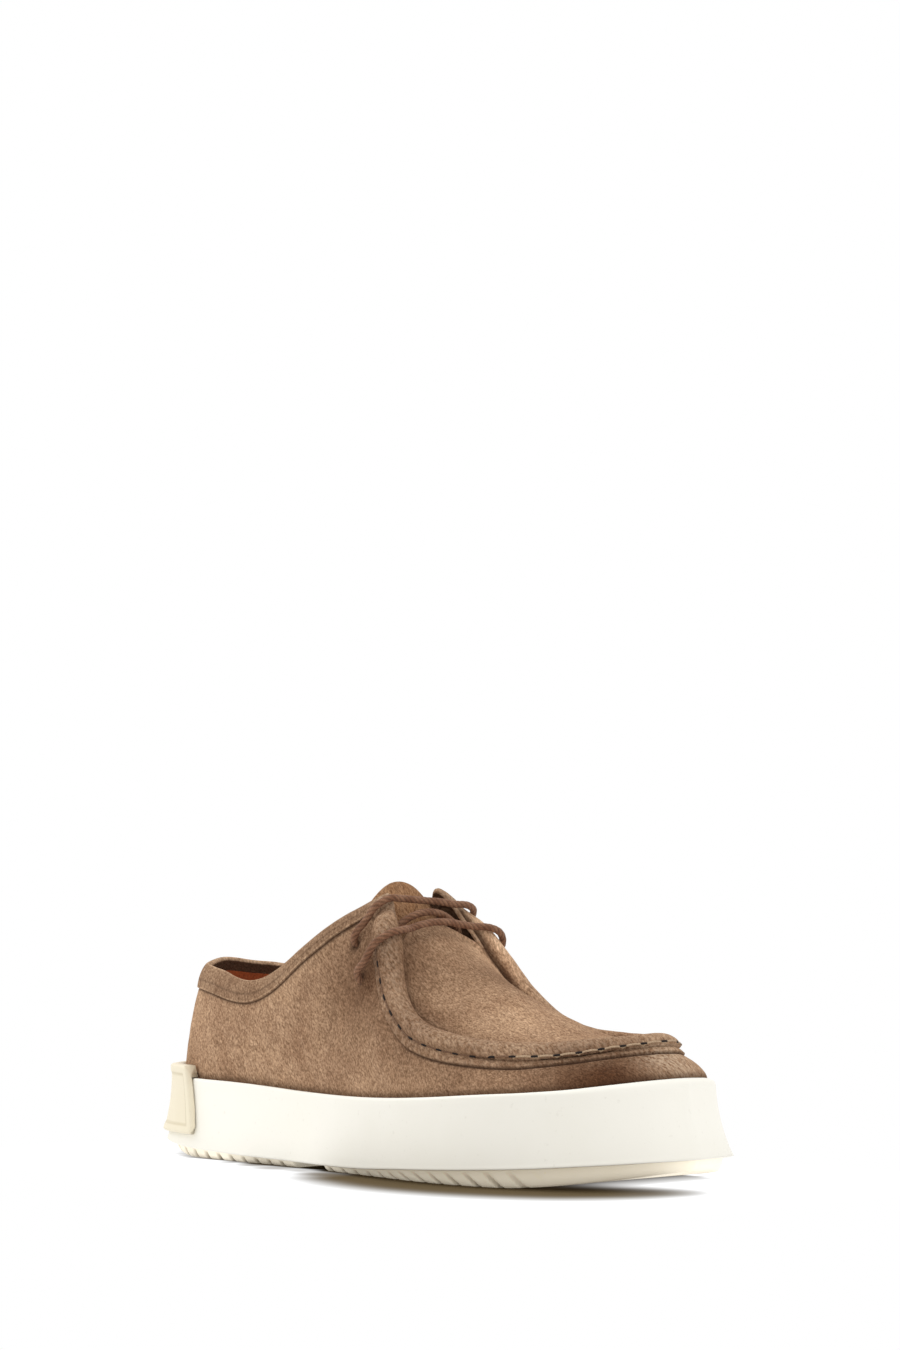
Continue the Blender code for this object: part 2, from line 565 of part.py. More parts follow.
def stacked_rings(rings, columns, first, last):
    """Closed solid from rings of points, each a full outline, lowest first."""
    ids = ring_loop(columns, first, last)
    count = len(ids)
    points = np.vstack([ring[ids] for ring in rings])
    faces = []
    for level in range(len(rings) - 1):
        for k in range(count):
            m = (k + 1) % count
            low, high = level * count, (level + 1) * count
            faces.append((low + k, low + m, high + m, high + k))
    for face in cap_faces(ids, 0, columns, first, last):
        faces.append(tuple(reversed(face)))
    for face in cap_faces(ids, (len(rings) - 1) * count, columns, first, last):
        faces.append(face)
    return points, facing_out(points, faces)


def outline_ring(offset, height):
    """Outline of the sole moved outwards, at a height for each column."""
    line = feather_curve(SOLE_COLUMNS)
    moved = line + outward(line) * np.broadcast_to(offset, (SOLE_COLUMNS,))[:, None]
    return np.c_[moved, np.broadcast_to(height, (SOLE_COLUMNS,))]


def sidewall_offset(share, height):
    """How far the sidewall stands outside the feather line at a height; it is hollow in profile."""
    flare = table_value(FLARE, share)
    base = height_of(BASE_HEIGHT, share)
    rim = height_of(RIM_HEIGHT, share)
    up = np.clip((height - base) / (rim - base), 0.0, 1.0)
    return RIM_THICKNESS + (flare - RIM_THICKNESS) * (1 - up) ** 2.0


def build_cupsole(collection, material):
    """White cup sole: recessed underside, flared hollow sidewall, rounded rim and open cup."""
    share = share_of(feather_curve(SOLE_COLUMNS))
    base = height_of(BASE_HEIGHT, share)
    rim = height_of(RIM_HEIGHT, share)
    floor = height_of(FLOOR_HEIGHT, share)
    flare = table_value(FLARE, share)
    rings = [outline_ring(flare + offset, base + above) for offset, above in CUP_FOOT]
    for up in SIDEWALL_SHARES:
        height = base + (rim - base) * up
        rings.append(outline_ring(sidewall_offset(share, height), height))
    for offset, depth in CUP_RIM:
        rings.append(outline_ring(offset, rim - depth))
    rings.append(outline_ring(FIT_GAP, floor))
    points, faces = stacked_rings(rings, SOLE_COLUMNS, 0, SOLE_COLUMNS // 2)
    return make_object("cupsole", points, faces, collection, material)


def build_tread(name, first, last, collection, material):
    """Tread pad set into the recess, with a bevelled side."""
    share = share_of(feather_curve(SOLE_COLUMNS))
    base = height_of(BASE_HEIGHT, share)
    under = height_of(TREAD_HEIGHT, share)
    flare = table_value(FLARE, share)
    top = base + RECESS - FIT_GAP
    shoulder = np.maximum(base - FIT_GAP, under + 1.4)
    rings = [
        outline_ring(flare - TREAD_INSET - TREAD_BEVEL - TREAD_CHAMFER, under),
        outline_ring(flare - TREAD_INSET - TREAD_BEVEL, under + 0.8),
        outline_ring(flare - TREAD_INSET, shoulder),
        outline_ring(flare - TREAD_INSET, top),
    ]
    points, faces = stacked_rings(rings, SOLE_COLUMNS, first, last)
    return make_object(name, points, faces, collection, material)


def hide_cutter(made):
    """Cutters are drawn as wires and never rendered."""
    made.hide_render = True
    made.display_type = "WIRE"
    return made


def primitive_object(name, maker, matrix, collection, **sizes):
    """Mesh object from one of the bmesh primitives, set in place by a matrix in metres."""
    shape = bmesh.new()
    maker(shape, matrix=matrix, **sizes)
    mesh = bpy.data.meshes.new(name)
    shape.to_mesh(mesh)
    shape.free()
    made = bpy.data.objects.new(name, mesh)
    collection.objects.link(made)
    return made


def groove_cutter(name, collection, start, pitch, count, lean):
    """Row of leaning bars that cut the grooves of a tread."""
    shape = bmesh.new()
    for k in range(count):
        middle = (start + k * pitch) * SCALE_X
        low = height_of(TREAD_HEIGHT, np.array([middle / FEATHER_LENGTH + 0.5]))[0]
        at = Vector((middle, 0.0, low + GROOVE_DEPTH - GROOVE_BAR_HEIGHT / 2)) * MM
        size = Vector((GROOVE_WIDTH, GROOVE_REACH * SCALE_Y, GROOVE_BAR_HEIGHT)) * MM
        turn = Matrix.Rotation(-np.arctan(lean), 4, "Z")
        matrix = Matrix.Translation(at) @ turn @ Matrix.Diagonal(size).to_4x4()
        bmesh.ops.create_cube(shape, size=1.0, matrix=matrix)
    mesh = bpy.data.meshes.new(name)
    shape.to_mesh(mesh)
    shape.free()
    made = bpy.data.objects.new(name, mesh)
    collection.objects.link(made)
    return hide_cutter(made)


def cut_with(target, cutter):
    """Exact difference by a hidden cutter."""
    cut = target.modifiers.new("cut_" + cutter.name, "BOOLEAN")
    cut.operation = "DIFFERENCE"
    cut.solver = "EXACT"
    cut.object = cutter


def solidify(made, thickness, offset):
    """Gives an open surface its thickness; offset 1 keeps it under the surface, -1 above it."""
    shell = made.modifiers.new("thickness", "SOLIDIFY")
    shell.thickness = thickness * MM
    shell.offset = offset
    shell.use_even_offset = False


def build_insole(collection, material):
    """Footbed sheet just above the floor of the cup, inside the wall of the upper."""
    columns = SOLE_COLUMNS
    half = columns // 2
    share = share_of(feather_curve(columns))
    inset = -(UPPER_WALL + FIT_GAP + INSOLE_SIDE_GAP)
    ring = outline_ring(inset, height_of(FLOOR_HEIGHT, share) + FIT_GAP)
    ids = ring_loop(columns, 0, half)
    faces = cap_faces(ids, 0, columns, 0, half)
    flat = ring[ids]
    if np.cross(flat[1] - flat[0], flat[2] - flat[0])[2] < 0:
        faces = [tuple(reversed(face)) for face in faces]
    made = make_object("insole", flat, faces, collection, material)
    solidify(made, INSOLE_THICKNESS, 1.0)
    return made


def tab_border(row, column):
    """How far a point of the tab belongs to its border: 1 on it, 0 in the field, 0.6 at its rim."""
    rows, columns = len(TAB_ROWS), len(TAB_COLUMNS)
    across = min(column, columns - 1 - column)
    up = min(row, rows - 1 - row)
    if across == 0 or up == 0:
        return 0.6
    return 1.0 if across <= 2 or up <= 2 else 0.0


def build_heel_tab(collection, material):
    """Rubber tab wrapped round the heel: raised border, recessed field, lip over the rim."""
    fine = feather_curve(FINE_POINTS)
    side = outward(fine)
    half = FINE_POINTS // 2
    heel = np.array([0.0])
    low_z = height_of(BASE_HEIGHT, heel)[0] + TAB_ABOVE_BASE * SCALE_Z
    top_z = height_of(RIM_HEIGHT, heel)[0] + TAB_ABOVE_RIM * SCALE_Z

    def place(column, up):
        """Plan point, its outward direction, the rim height there and the height itself."""
        reach = TAB_LOW_REACH + (TAB_TOP_REACH - TAB_LOW_REACH) * up
        at = int(round(TAB_COLUMNS[column] * reach * half)) % FINE_POINTS
        rim = height_of(RIM_HEIGHT, share_of(fine[at:at + 1]))[0]
        return fine[at], side[at], rim, low_z + (top_z - low_z) * up

    def wall_at(plan, height, rim):
        """How far the sidewall stands out, plus the gap."""
        here = share_of(plan[None])
        return sidewall_offset(here, np.array([min(height, rim)]))[0] + TAB_GAP

    columns, rows = len(TAB_COLUMNS), len(TAB_ROWS)
    points = []
    for row, up in enumerate(TAB_ROWS):
        for column in range(columns):
            plan, away, rim, height = place(column, up)
            lift = TAB_FIELD + (TAB_BORDER - TAB_FIELD) * tab_border(row, column)
            points.append((*(plan + away * (wall_at(plan, height, rim) + lift)), height))
    for up in TAB_BACK_ROWS:
        for column in range(columns):
            plan, away, rim, height = place(column, up)
            points.append((*(plan + away * wall_at(plan, height, rim)), height))
    for column in range(columns):
        plan, away, rim, _ = place(column, 0.7)
        points.append((*(plan + away * (RIM_THICKNESS + FIT_GAP)), rim + FIT_GAP))
    for column in range(columns):
        plan, away, rim, _ = place(column, 0.86)
        points.append((*(plan + away * TAB_LIP_GAP), rim + FIT_GAP))
    for column in range(columns):
        plan, away, _, height = place(column, 1.0)
        points.append((*(plan + away * TAB_LIP_GAP), height))
    back_rows = len(TAB_BACK_ROWS) + 3
    shift = rows * columns
    faces = []
    for row in range(rows - 1):
        for column in range(columns - 1):
            a = row * columns + column
            faces.append((a, a + 1, a + 1 + columns, a + columns))
    for row in range(back_rows - 1):
        for column in range(columns - 1):
            a = shift + row * columns + column
            faces.append((a + columns, a + 1 + columns, a + 1, a))
    for column in range(columns - 1):
        faces.append((column + 1, column, shift + column, shift + column + 1))
        a = (rows - 1) * columns + column
        b = shift + (back_rows - 1) * columns + column
        faces.append((a, a + 1, b + 1, b))
    for column in (0, columns - 1):
        front = [row * columns + column for row in range(rows)]
        back = [shift + row * columns + column for row in range(back_rows)]
        side_face = front + back[::-1]
        faces.append(tuple(side_face) if column == 0 else tuple(reversed(side_face)))
    points = np.array(points)
    return make_object("heel_tab", points, facing_out(points, faces), collection, material)


def tongue_grid(rows, cols):
    """Middle surface of the tongue, arched across."""
    at = np.linspace(0, len(TONGUE_SECTIONS) - 1, rows)
    data = through_rows(TONGUE_SECTIONS, at, False)
    across = np.linspace(-1, 1, cols)
    grid = np.zeros((rows, cols, 3))
    for r in range(rows):
        x, z, half, drop = data[r]
        grid[r, :, 0] = x * SCALE_X
        grid[r, :, 1] = across * half * SCALE_Y
        grid[r, :, 2] = (z - drop * across**2) * SCALE_Z
    return grid


def build_tongue(collection, material):
    """The tongue, a separate arched sheet."""
    rows, across = TONGUE_ROWS, TONGUE_COLUMNS
    grid = tongue_grid(rows, across)
    faces = []
    for row in range(rows - 1):
        for column in range(across - 1):
            a = row * across + column
            faces.append((a, a + 1, a + 1 + across, a + across))
    made = make_object("tongue", grid.reshape(-1, 3), faces, collection, material)
    solidify(made, TONGUE_THICKNESS, 0.0)
    return made


def build_lace(collection, material):
    """One round lace through the four eyelets, a bevelled curve with closed ends."""
    path = np.array(LACE_PATH) * np.array([SCALE_X, SCALE_Y, SCALE_Z])
    line = through_rows(path, np.linspace(0, len(path) - 1, LACE_SAMPLES), False)
    curve = bpy.data.curves.new("lace", "CURVE")
    curve.dimensions = "3D"
    curve.bevel_depth = LACE_DIAMETER / 2 * MM
    curve.bevel_resolution = 2
    curve.use_fill_caps = True
    spline = curve.splines.new("POLY")
    spline.points.add(LACE_SAMPLES - 1)
    for point, spot in zip(spline.points, line * MM):
        point.co = (*spot, 1.0)
    curve.materials.append(material)
    made = bpy.data.objects.new("lace", curve)
    collection.objects.link(made)
    return made


def eyelet_point(side, x, z):
    """Point on the middle surface of the quarter and its outward direction."""
    grid, _ = upper_grid(EYELET_COLUMNS)
    wall = grid[:, 2:10, :]
    fine = []
    for s in np.linspace(0, wall.shape[1] - 1, 120):
        k = min(int(s), wall.shape[1] - 2)
        fine.append(wall[:, k] * (1 - (s - k)) + wall[:, k + 1] * (s - k))
    fine = np.stack(fine, axis=1)
    right_side = np.sign(fine[:, :, 1]) == side
    far = np.hypot(fine[:, :, 0] - x * SCALE_X, fine[:, :, 2] - z * SCALE_Z) + np.where(right_side, 0, 1e3)
    i, j = np.unravel_index(far.argmin(), far.shape)
    j = min(max(j, 2), fine.shape[1] - 3)
    up = fine[i, j + 2] - fine[i, j - 2]
    along = fine[(i + 3) % EYELET_COLUMNS, j] - fine[(i - 3) % EYELET_COLUMNS, j]
    normal = np.cross(along, up)
    normal = normal / np.linalg.norm(normal)
    if normal[1] * side < 0:
        normal = -normal
    return fine[i, j], normal


def eyelet_cutter(name, side, x, z, collection):
    """Round bar through the quarter at an eyelet."""
    middle, normal = eyelet_point(side, x, z)
    turn = Vector((0.0, 0.0, 1.0)).rotation_difference(Vector(normal)).to_matrix().to_4x4()
    matrix = Matrix.Translation(Vector(middle) * MM) @ turn
    radius = EYELET_DIAMETER / 2 * MM
    made = primitive_object(name, bmesh.ops.create_cone, matrix, collection, cap_ends=True, segments=12,
                            radius1=radius, radius2=radius, depth=EYELET_BAR * MM)
    return hide_cutter(made)


def plain_material(name, colour, roughness):
    """Principled material in one colour."""
    material = bpy.data.materials.new(name)
    material.use_nodes = True
    shader = material.node_tree.nodes["Principled BSDF"]
    shader.inputs["Base Color"].default_value = (*colour, 1.0)
    shader.inputs["Roughness"].default_value = roughness
    material.diffuse_color = (*colour, 1.0)
    return material


def smooth_shade(made, degrees=35.0):
    """Smooth shading with sharp edges above an angle."""
    for face in made.data.polygons:
        face.use_smooth = True
    made.data.set_sharp_from_angle(angle=np.radians(degrees))


def main():
    for item in list(bpy.data.objects):
        bpy.data.objects.remove(item, do_unlink=True)
    parts = bpy.data.collections.new("moccasin_shoe")
    cutters = bpy.data.collections.new("cutters")
    bpy.context.scene.collection.children.link(parts)
    bpy.context.scene.collection.children.link(cutters)

    suede = plain_material("suede", (0.33, 0.20, 0.125), 0.9)
    tongue_suede = plain_material("tongue_suede", (0.31, 0.19, 0.12), 0.9)
    white_rubber = plain_material("white_rubber", (0.90, 0.88, 0.80), 0.55)
    tread_front = plain_material("tread_front", (0.60, 0.53, 0.42), 0.6)
    tread_back = plain_material("tread_back", (0.60, 0.53, 0.42), 0.6)
    cream_rubber = plain_material("cream_rubber", (0.85, 0.78, 0.62), 0.5)
    footbed = plain_material("footbed", (0.45, 0.24, 0.12), 0.8)
    cord = plain_material("cord", (0.09, 0.045, 0.027), 0.7)

    upper = build_upper(parts, suede)
    cupsole = build_cupsole(parts, white_rubber)
    tongue = build_tongue(parts, tongue_suede)
    insole = build_insole(parts, footbed)
    heel_tab = build_heel_tab(parts, cream_rubber)
    lace = build_lace(parts, cord)
    half = SOLE_COLUMNS // 2
    outer_x = feather_curve(SOLE_COLUMNS)[:half + 1, 0]
    heel_end = int(np.abs(outer_x - HEEL_PAD_END * SCALE_X).argmin())
    fore_start = int(np.abs(outer_x - FORE_PAD_START * SCALE_X).argmin())
    tread_heel = build_tread("tread_heel", 0, heel_end, parts, tread_back)
    tread_forefoot = build_tread("tread_forefoot", fore_start, half, parts, tread_front)

    cut_with(tread_heel, groove_cutter("heel_grooves", cutters, *HEEL_GROOVES))
    cut_with(tread_forefoot, groove_cutter("fore_grooves", cutters, *FORE_GROOVES))
    for k, (side, x, z) in enumerate(EYELETS):
        cut_with(upper, eyelet_cutter("eyelet_bar_%d" % (k + 1), side, x, z, cutters))

    made = [upper, cupsole, tongue, insole, heel_tab, tread_heel, tread_forefoot]
    spots = np.vstack([[vertex.co for vertex in item.data.vertices] for item in made])
    low, high = spots.min(axis=0), spots.max(axis=0)
    shift = Vector(((low[0] + high[0]) / 2, (low[1] + high[1]) / 2, low[2]))
    for item in made + list(cutters.objects):
        item.data.transform(Matrix.Translation(-shift))
    lace.data.transform(Matrix.Translation(-shift))
    for item in made:
        smooth_shade(item)


main()
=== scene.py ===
"""Looks of the lace-up moccasin shoe, right foot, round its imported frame.

The tables are those of the part's own source, in millimetres of the sample last.
SHIFT moves them into the frame, where the box of the part is centred over the floor.
"""
import math

import bpy
import numpy as np
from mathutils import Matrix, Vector, noise


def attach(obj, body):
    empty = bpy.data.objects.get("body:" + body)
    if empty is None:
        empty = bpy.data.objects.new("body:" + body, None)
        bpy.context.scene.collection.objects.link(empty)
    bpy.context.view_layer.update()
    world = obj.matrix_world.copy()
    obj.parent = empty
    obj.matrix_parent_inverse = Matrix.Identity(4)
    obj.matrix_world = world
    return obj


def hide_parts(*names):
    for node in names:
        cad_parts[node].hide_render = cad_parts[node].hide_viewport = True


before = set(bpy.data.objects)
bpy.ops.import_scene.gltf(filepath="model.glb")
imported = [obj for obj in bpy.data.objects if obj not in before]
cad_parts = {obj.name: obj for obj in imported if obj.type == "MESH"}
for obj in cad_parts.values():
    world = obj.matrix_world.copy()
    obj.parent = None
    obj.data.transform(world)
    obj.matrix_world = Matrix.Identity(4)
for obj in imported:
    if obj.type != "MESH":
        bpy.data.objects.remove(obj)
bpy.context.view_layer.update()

MM = 0.001

# Driving sizes of the shoe, millimetres
FEATHER_LENGTH = 285.0
BALL_WIDTH = 100.0
TONGUE_HEIGHT = 121.0
UPPER_WALL = 2.2
FIT_GAP = 0.35
RIM_THICKNESS = 3.5
LACE_DIAMETER = 3.0
TONGUE_THICKNESS = 2.0
INSOLE_THICKNESS = 2.5
INSOLE_SIDE_GAP = 0.95
GROOVE_WIDTH = 2.2
GROOVE_DEPTH = 1.6

# Sample last that the tables are written for
SAMPLE_LENGTH = 285.0
SAMPLE_BALL = 100.0
SAMPLE_TONGUE = 121.0
SCALE_X = FEATHER_LENGTH / SAMPLE_LENGTH
SCALE_Y = BALL_WIDTH / SAMPLE_BALL
SCALE_Z = TONGUE_HEIGHT / SAMPLE_TONGUE

# share of the length, outer half width, inner half width (shares of half the ball width)
FEATHER_LINE = [
    (0.000, 0.00, 0.00), (0.008, 0.20, 0.20), (0.045, 0.47, 0.47), (0.12, 0.66, 0.64),
    (0.22, 0.72, 0.68), (0.34, 0.75, 0.66), (0.46, 0.84, 0.68), (0.58, 0.95, 0.80),
    (0.68, 1.03, 0.93), (0.78, 1.01, 0.99), (0.87, 0.85, 0.945), (0.94, 0.60, 0.775),
    (0.985, 0.25, 0.47), (1.000, -0.06, 0.13),
]

# share of the length -> height of the rim of the cup
RIM_HEIGHT = [(0.0, 35.0), (0.1, 34.8), (0.22, 34.4), (0.4, 32.5), (0.5, 32.2), (0.6, 32.8),
              (0.7, 34.4), (0.8, 36.6), (0.87, 38.0), (0.92, 39.4), (0.96, 41.2), (1.0, 43.3)]
# share of the length -> height of the lower edge of the sidewall (heel lift, arch, toe spring)
BASE_HEIGHT = [(0.0, 6.8), (0.05, 6.2), (0.12, 4.9), (0.25, 3.5), (0.4, 3.0), (0.55, 3.1),
               (0.66, 4.8), (0.78, 6.6), (0.88, 8.4), (0.95, 10.2), (1.0, 11.6)]
# share of the length -> height of the underside of the treads
TREAD_HEIGHT = [(0.0, 2.0), (0.05, 1.2), (0.1, 0.0), (0.3, 0.0), (0.6, 0.0), (0.82, 0.0),
                (0.88, 0.9), (0.93, 2.6), (0.97, 4.6), (1.0, 6.6)]
# share of the length -> height of the floor inside the cup
FLOOR_HEIGHT = [(0.0, 19.5), (0.25, 18.0), (0.5, 13.8), (0.65, 12.8), (0.8, 15.0),
                (0.92, 18.6), (1.0, 21.5)]
# share of the length -> how far the foot of the sidewall flares outside the feather line
FLARE = [(0.0, 8.6), (0.06, 8.0), (0.16, 6.7), (0.3, 6.4), (0.7, 6.5), (0.82, 7.4),
         (0.92, 9.6), (1.0, 11.4)]

# Sections of the upper, a row each from the heel round to the toe.
# seam x, y, z: lower fold of the collar binding, then the stitched row of the moccasin seam
# edge x, y, z: top edge of the collar and facing, then the inner edge of the raised roll
# cut: distance from the seam down to the cut edge; step: its thickness; roll: height of the roll
OUTER_SECTIONS = [
    (-134.8, 0.0, 76.5, -131.2, 0.0, 86.5, 0.8, 0.9, 0.0),
    (-129.5, 15.8, 74.8, -126.6, 14.0, 84.2, 0.8, 0.9, 0.0),
    (-119.5, 21.2, 73.6, -117.6, 18.5, 82.8, 0.8, 0.9, 0.0),
    (-107.0, 25.0, 71.8, -106.2, 21.2, 81.1, 0.8, 0.9, 0.0),
    (-94.5, 28.0, 69.8, -94.6, 24.6, 78.6, 0.8, 0.9, 0.0),
    (-81.5, 30.0, 69.0, -83.0, 26.6, 77.3, 0.8, 0.9, 0.0),
    (-71.0, 31.0, 70.8, -73.0, 27.6, 78.7, 0.8, 0.9, 0.0),
    (-61.5, 31.6, 74.7, -64.0, 28.3, 82.0, 0.8, 0.9, 0.0),
    (-51.5, 32.2, 80.4, -54.2, 29.2, 86.8, 0.8, 0.9, 0.0),
    (-42.0, 32.3, 86.8, -44.8, 29.6, 92.2, 0.8, 0.9, 0.0),
    (-31.5, 31.0, 93.8, -34.4, 28.4, 98.9, 0.8, 0.9, 0.0),
    (-22.5, 28.4, 99.8, -25.0, 25.6, 104.9, 0.8, 0.9, 0.0),
    (-14.2, 24.8, 104.8, -15.8, 21.0, 110.3, 0.9, 0.8, 0.0),
    (-9.0, 22.6, 107.7, -9.5, 17.4, 114.2, 1.2, 0.8, 0.0),
    (-5.5, 22.8, 107.8, -4.5, 16.4, 115.6, 1.8, 0.8, 0.1),
    (-2.4, 25.0, 105.8, 0.2, 18.4, 110.8, 2.6, 0.9, 0.2),
    (-0.2, 27.8, 102.2, 4.0, 20.2, 106.2, 3.4, 1.0, 2.6),
    (2.4, 30.0, 97.6, 7.8, 21.8, 99.8, 4.0, 1.1, 3.8),
    (5.6, 32.0, 92.2, 11.2, 23.6, 93.4, 4.4, 1.2, 4.2),
    (10.2, 34.8, 85.0, 15.2, 27.0, 85.4, 4.5, 1.2, 4.3),
    (15.4, 38.0, 77.4, 19.9, 30.6, 77.0, 4.5, 1.2, 4.4),
    (21.2, 40.6, 70.4, 25.8, 33.6, 69.2, 4.5, 1.2, 4.3),
    (29.0, 42.6, 63.4, 33.0, 35.8, 63.4, 4.5, 1.2, 4.3),
    (38.5, 43.8, 57.2, 42.0, 37.0, 60.0, 4.5, 1.2, 4.3),
    (51.0, 44.2, 53.4, 53.0, 37.0, 57.0, 4.5, 1.2, 4.1),
    (66.0, 43.4, 51.0, 66.0, 35.8, 55.0, 4.5, 1.2, 3.9),
    (81.5, 40.0, 49.4, 79.0, 32.4, 54.0, 4.4, 1.2, 3.8),
    (95.0, 33.2, 48.9, 90.8, 26.2, 53.9, 4.2, 1.2, 3.7),
    (108.0, 22.2, 50.0, 102.2, 16.6, 54.4, 4.0, 1.2, 3.6),
    (119.5, 8.0, 52.4, 112.2, 4.4, 55.2, 3.8, 1.2, 3.5),
    (127.6, -11.5, 54.1, 118.6, -11.5, 55.8, 3.6, 1.2, 3.4),
]
INNER_SECTIONS = [
    (-134.8, 0.0, 76.5, -131.2, 0.0, 86.5, 0.8, 0.9, 0.0),
    (-129.5, 15.8, 75.5, -126.6, 14.0, 84.9, 0.8, 0.9, 0.0),
    (-119.5, 21.2, 74.8, -117.6, 18.5, 84.2, 0.8, 0.9, 0.0),
    (-107.0, 25.0, 73.5, -106.2, 21.2, 82.9, 0.8, 0.9, 0.0),
    (-94.5, 27.8, 72.0, -94.6, 24.4, 81.0, 0.8, 0.9, 0.0),
    (-81.5, 29.0, 71.5, -83.0, 25.8, 80.0, 0.8, 0.9, 0.0),
    (-71.0, 29.6, 73.4, -73.0, 26.4, 81.5, 0.8, 0.9, 0.0),
    (-61.5, 30.0, 77.3, -64.0, 26.9, 84.8, 0.8, 0.9, 0.0),
    (-51.5, 30.5, 83.1, -54.2, 27.6, 89.6, 0.8, 0.9, 0.0),
    (-42.0, 31.0, 89.6, -44.8, 28.2, 95.1, 0.8, 0.9, 0.0),
    (-31.5, 30.2, 96.8, -34.4, 27.5, 101.9, 0.8, 0.9, 0.0),
    (-22.5, 28.0, 102.9, -25.0, 25.2, 108.0, 0.8, 0.9, 0.0),
    (-14.2, 24.6, 108.0, -15.8, 21.0, 113.4, 0.9, 0.8, 0.0),
    (-9.4, 22.2, 110.8, -10.0, 17.0, 117.6, 1.2, 0.8, 0.0),
    (-6.4, 22.8, 110.2, -5.6, 17.0, 117.0, 1.8, 0.8, 0.1),
    (-4.0, 25.2, 107.2, -1.4, 19.2, 112.2, 2.6, 0.9, 0.6),
    (-1.4, 28.0, 102.8, 3.0, 20.8, 105.8, 3.4, 1.0, 2.2),
    (1.6, 30.2, 98.2, 8.0, 22.4, 99.4, 4.0, 1.1, 3.6),
    (5.0, 32.0, 92.8, 12.4, 23.8, 92.8, 4.4, 1.2, 4.6),
    (9.5, 34.2, 86.0, 16.8, 26.8, 85.0, 4.5, 1.2, 5.0),
    (15.0, 36.8, 78.4, 21.6, 30.2, 77.2, 4.5, 1.2, 5.0),
    (21.5, 38.8, 71.4, 27.7, 32.6, 70.0, 4.5, 1.2, 4.8),
    (30.0, 40.0, 64.8, 35.2, 34.0, 64.2, 4.5, 1.2, 4.5),
    (40.5, 40.8, 58.6, 44.0, 34.6, 60.2, 4.5, 1.2, 4.2),
    (53.0, 41.4, 54.6, 55.0, 34.8, 57.2, 4.5, 1.2, 3.9),
    (67.5, 42.0, 52.2, 67.0, 34.8, 55.4, 4.5, 1.2, 3.8),
    (82.5, 42.2, 50.8, 80.0, 34.6, 54.8, 4.4, 1.2, 3.7),
    (97.0, 40.4, 50.3, 92.0, 33.0, 54.7, 4.2, 1.2, 3.6),
    (110.0, 35.6, 50.8, 103.0, 29.4, 55.0, 4.0, 1.2, 3.5),
    (121.0, 25.8, 52.5, 112.6, 21.8, 55.4, 3.8, 1.2, 3.4),
]
# First row of the tables where the plug begins; the rows before it border the open throat
PLUG_ROW = 18

# Plug, a row for each section from PLUG_ROW to the toe:
# height of the crest, how far the row bows back at its middle, fullness of the arch
PLUG_SECTIONS = [
    (104.4, -9.8, 1.8), (100.2, -8.2, 1.9), (95.0, -5.6, 2.0), (89.4, -3.4, 2.1),
    (84.0, -1.8, 2.1), (79.2, -0.8, 2.1), (74.8, 0.0, 2.0), (69.2, 0.0, 2.0),
    (63.2, 0.0, 2.0), (59.0, 0.0, 2.0), (57.4, 0.0, 2.0), (56.6, 0.0, 2.0), (55.8, 0.0, 2.0),
]

# Tongue centre line from under the plug to its top: x, height, half width, drop at the sides
TONGUE_SECTIONS = [
    (24.0, 81.8, 15.0, 4.0), (17.0, 86.0, 17.5, 6.0), (9.0, 91.2, 18.8, 8.0), (2.6, 95.4, 19.0, 9.0),
    (-4.6, 103.2, 19.2, 10.5), (-9.5, 111.6, 19.0, 11.0), (-13.5, 117.6, 18.0, 10.3),
    (-16.4, 121.0, 15.5, 8.4),
]

# Eyelet holes: side (-1 outer, 1 inner), x and height on the quarter
EYELETS = [(-1, -12.7, 95.2), (-1, -2.7, 80.4), (1, -11.5, 98.6), (1, -1.4, 84.0)]

# Centre line of the lace, x, y, z, from its hidden end at the inner top eyelet
LACE_PATH = [
    (-8.0, 21.0, 92.0), (-12.5, 22.0, 98.0), (-10.5, 28.5, 100.0), (-4.5, 30.5, 103.5),
    (0.5, 29.0, 108.5), (3.5, 22.5, 111.0), (3.0, 15.0, 111.5), (2.5, 7.5, 112.5),
    (2.0, 0.0, 113.0), (1.5, -7.5, 113.5), (1.0, -14.5, 114.0), (0.0, -20.5, 114.0),
    (-3.0, -25.5, 110.5), (-6.5, -28.0, 104.5), (-10.5, -30.0, 99.0), (-13.5, -27.0, 95.0),
    (-10.5, -22.0, 94.0), (-4.0, -21.5, 98.0), (1.5, -17.5, 102.0), (3.5, -11.5, 106.0),
    (4.0, -4.5, 108.0), (4.0, 3.0, 108.0), (3.5, 10.0, 106.0), (2.5, 16.5, 102.0),
    (0.5, 21.0, 96.5), (-0.5, 24.0, 90.0), (0.0, 27.0, 83.5), (-2.0, 34.0, 84.0),
    (4.0, 37.0, 88.5), (9.0, 38.0, 94.0), (12.5, 33.5, 99.0), (13.0, 26.5, 101.5),
    (11.0, 19.0, 102.0), (10.5, 11.5, 103.0), (10.5, 4.0, 104.0), (10.0, -3.5, 104.0),
    (10.0, -11.0, 103.0), (10.5, -18.0, 101.5), (13.0, -25.0, 101.0), (12.5, -32.0, 99.5),
    (8.5, -37.0, 95.0), (4.0, -37.5, 88.5), (-1.5, -37.0, 83.5), (-2.5, -34.0, 79.5),
    (-1.5, -28.5, 79.0), (-4.5, -25.0, 82.0), (-9.0, -24.5, 87.0),
]

# Ends of the treads along the shoe, and their rows of grooves: first bar, pitch, how many, lean
HEEL_PAD_END = -37.5
FORE_PAD_START = -14.5
HEEL_GROOVES = (-134.0, 8.7, 11, 0.0)
FORE_GROOVES = (-6.0, 9.6, 14, 0.12)

# Depth of the recess for the treads, and how far they stay inside the foot of the sidewall
RECESS = 2.0
TREAD_INSET = 3.9

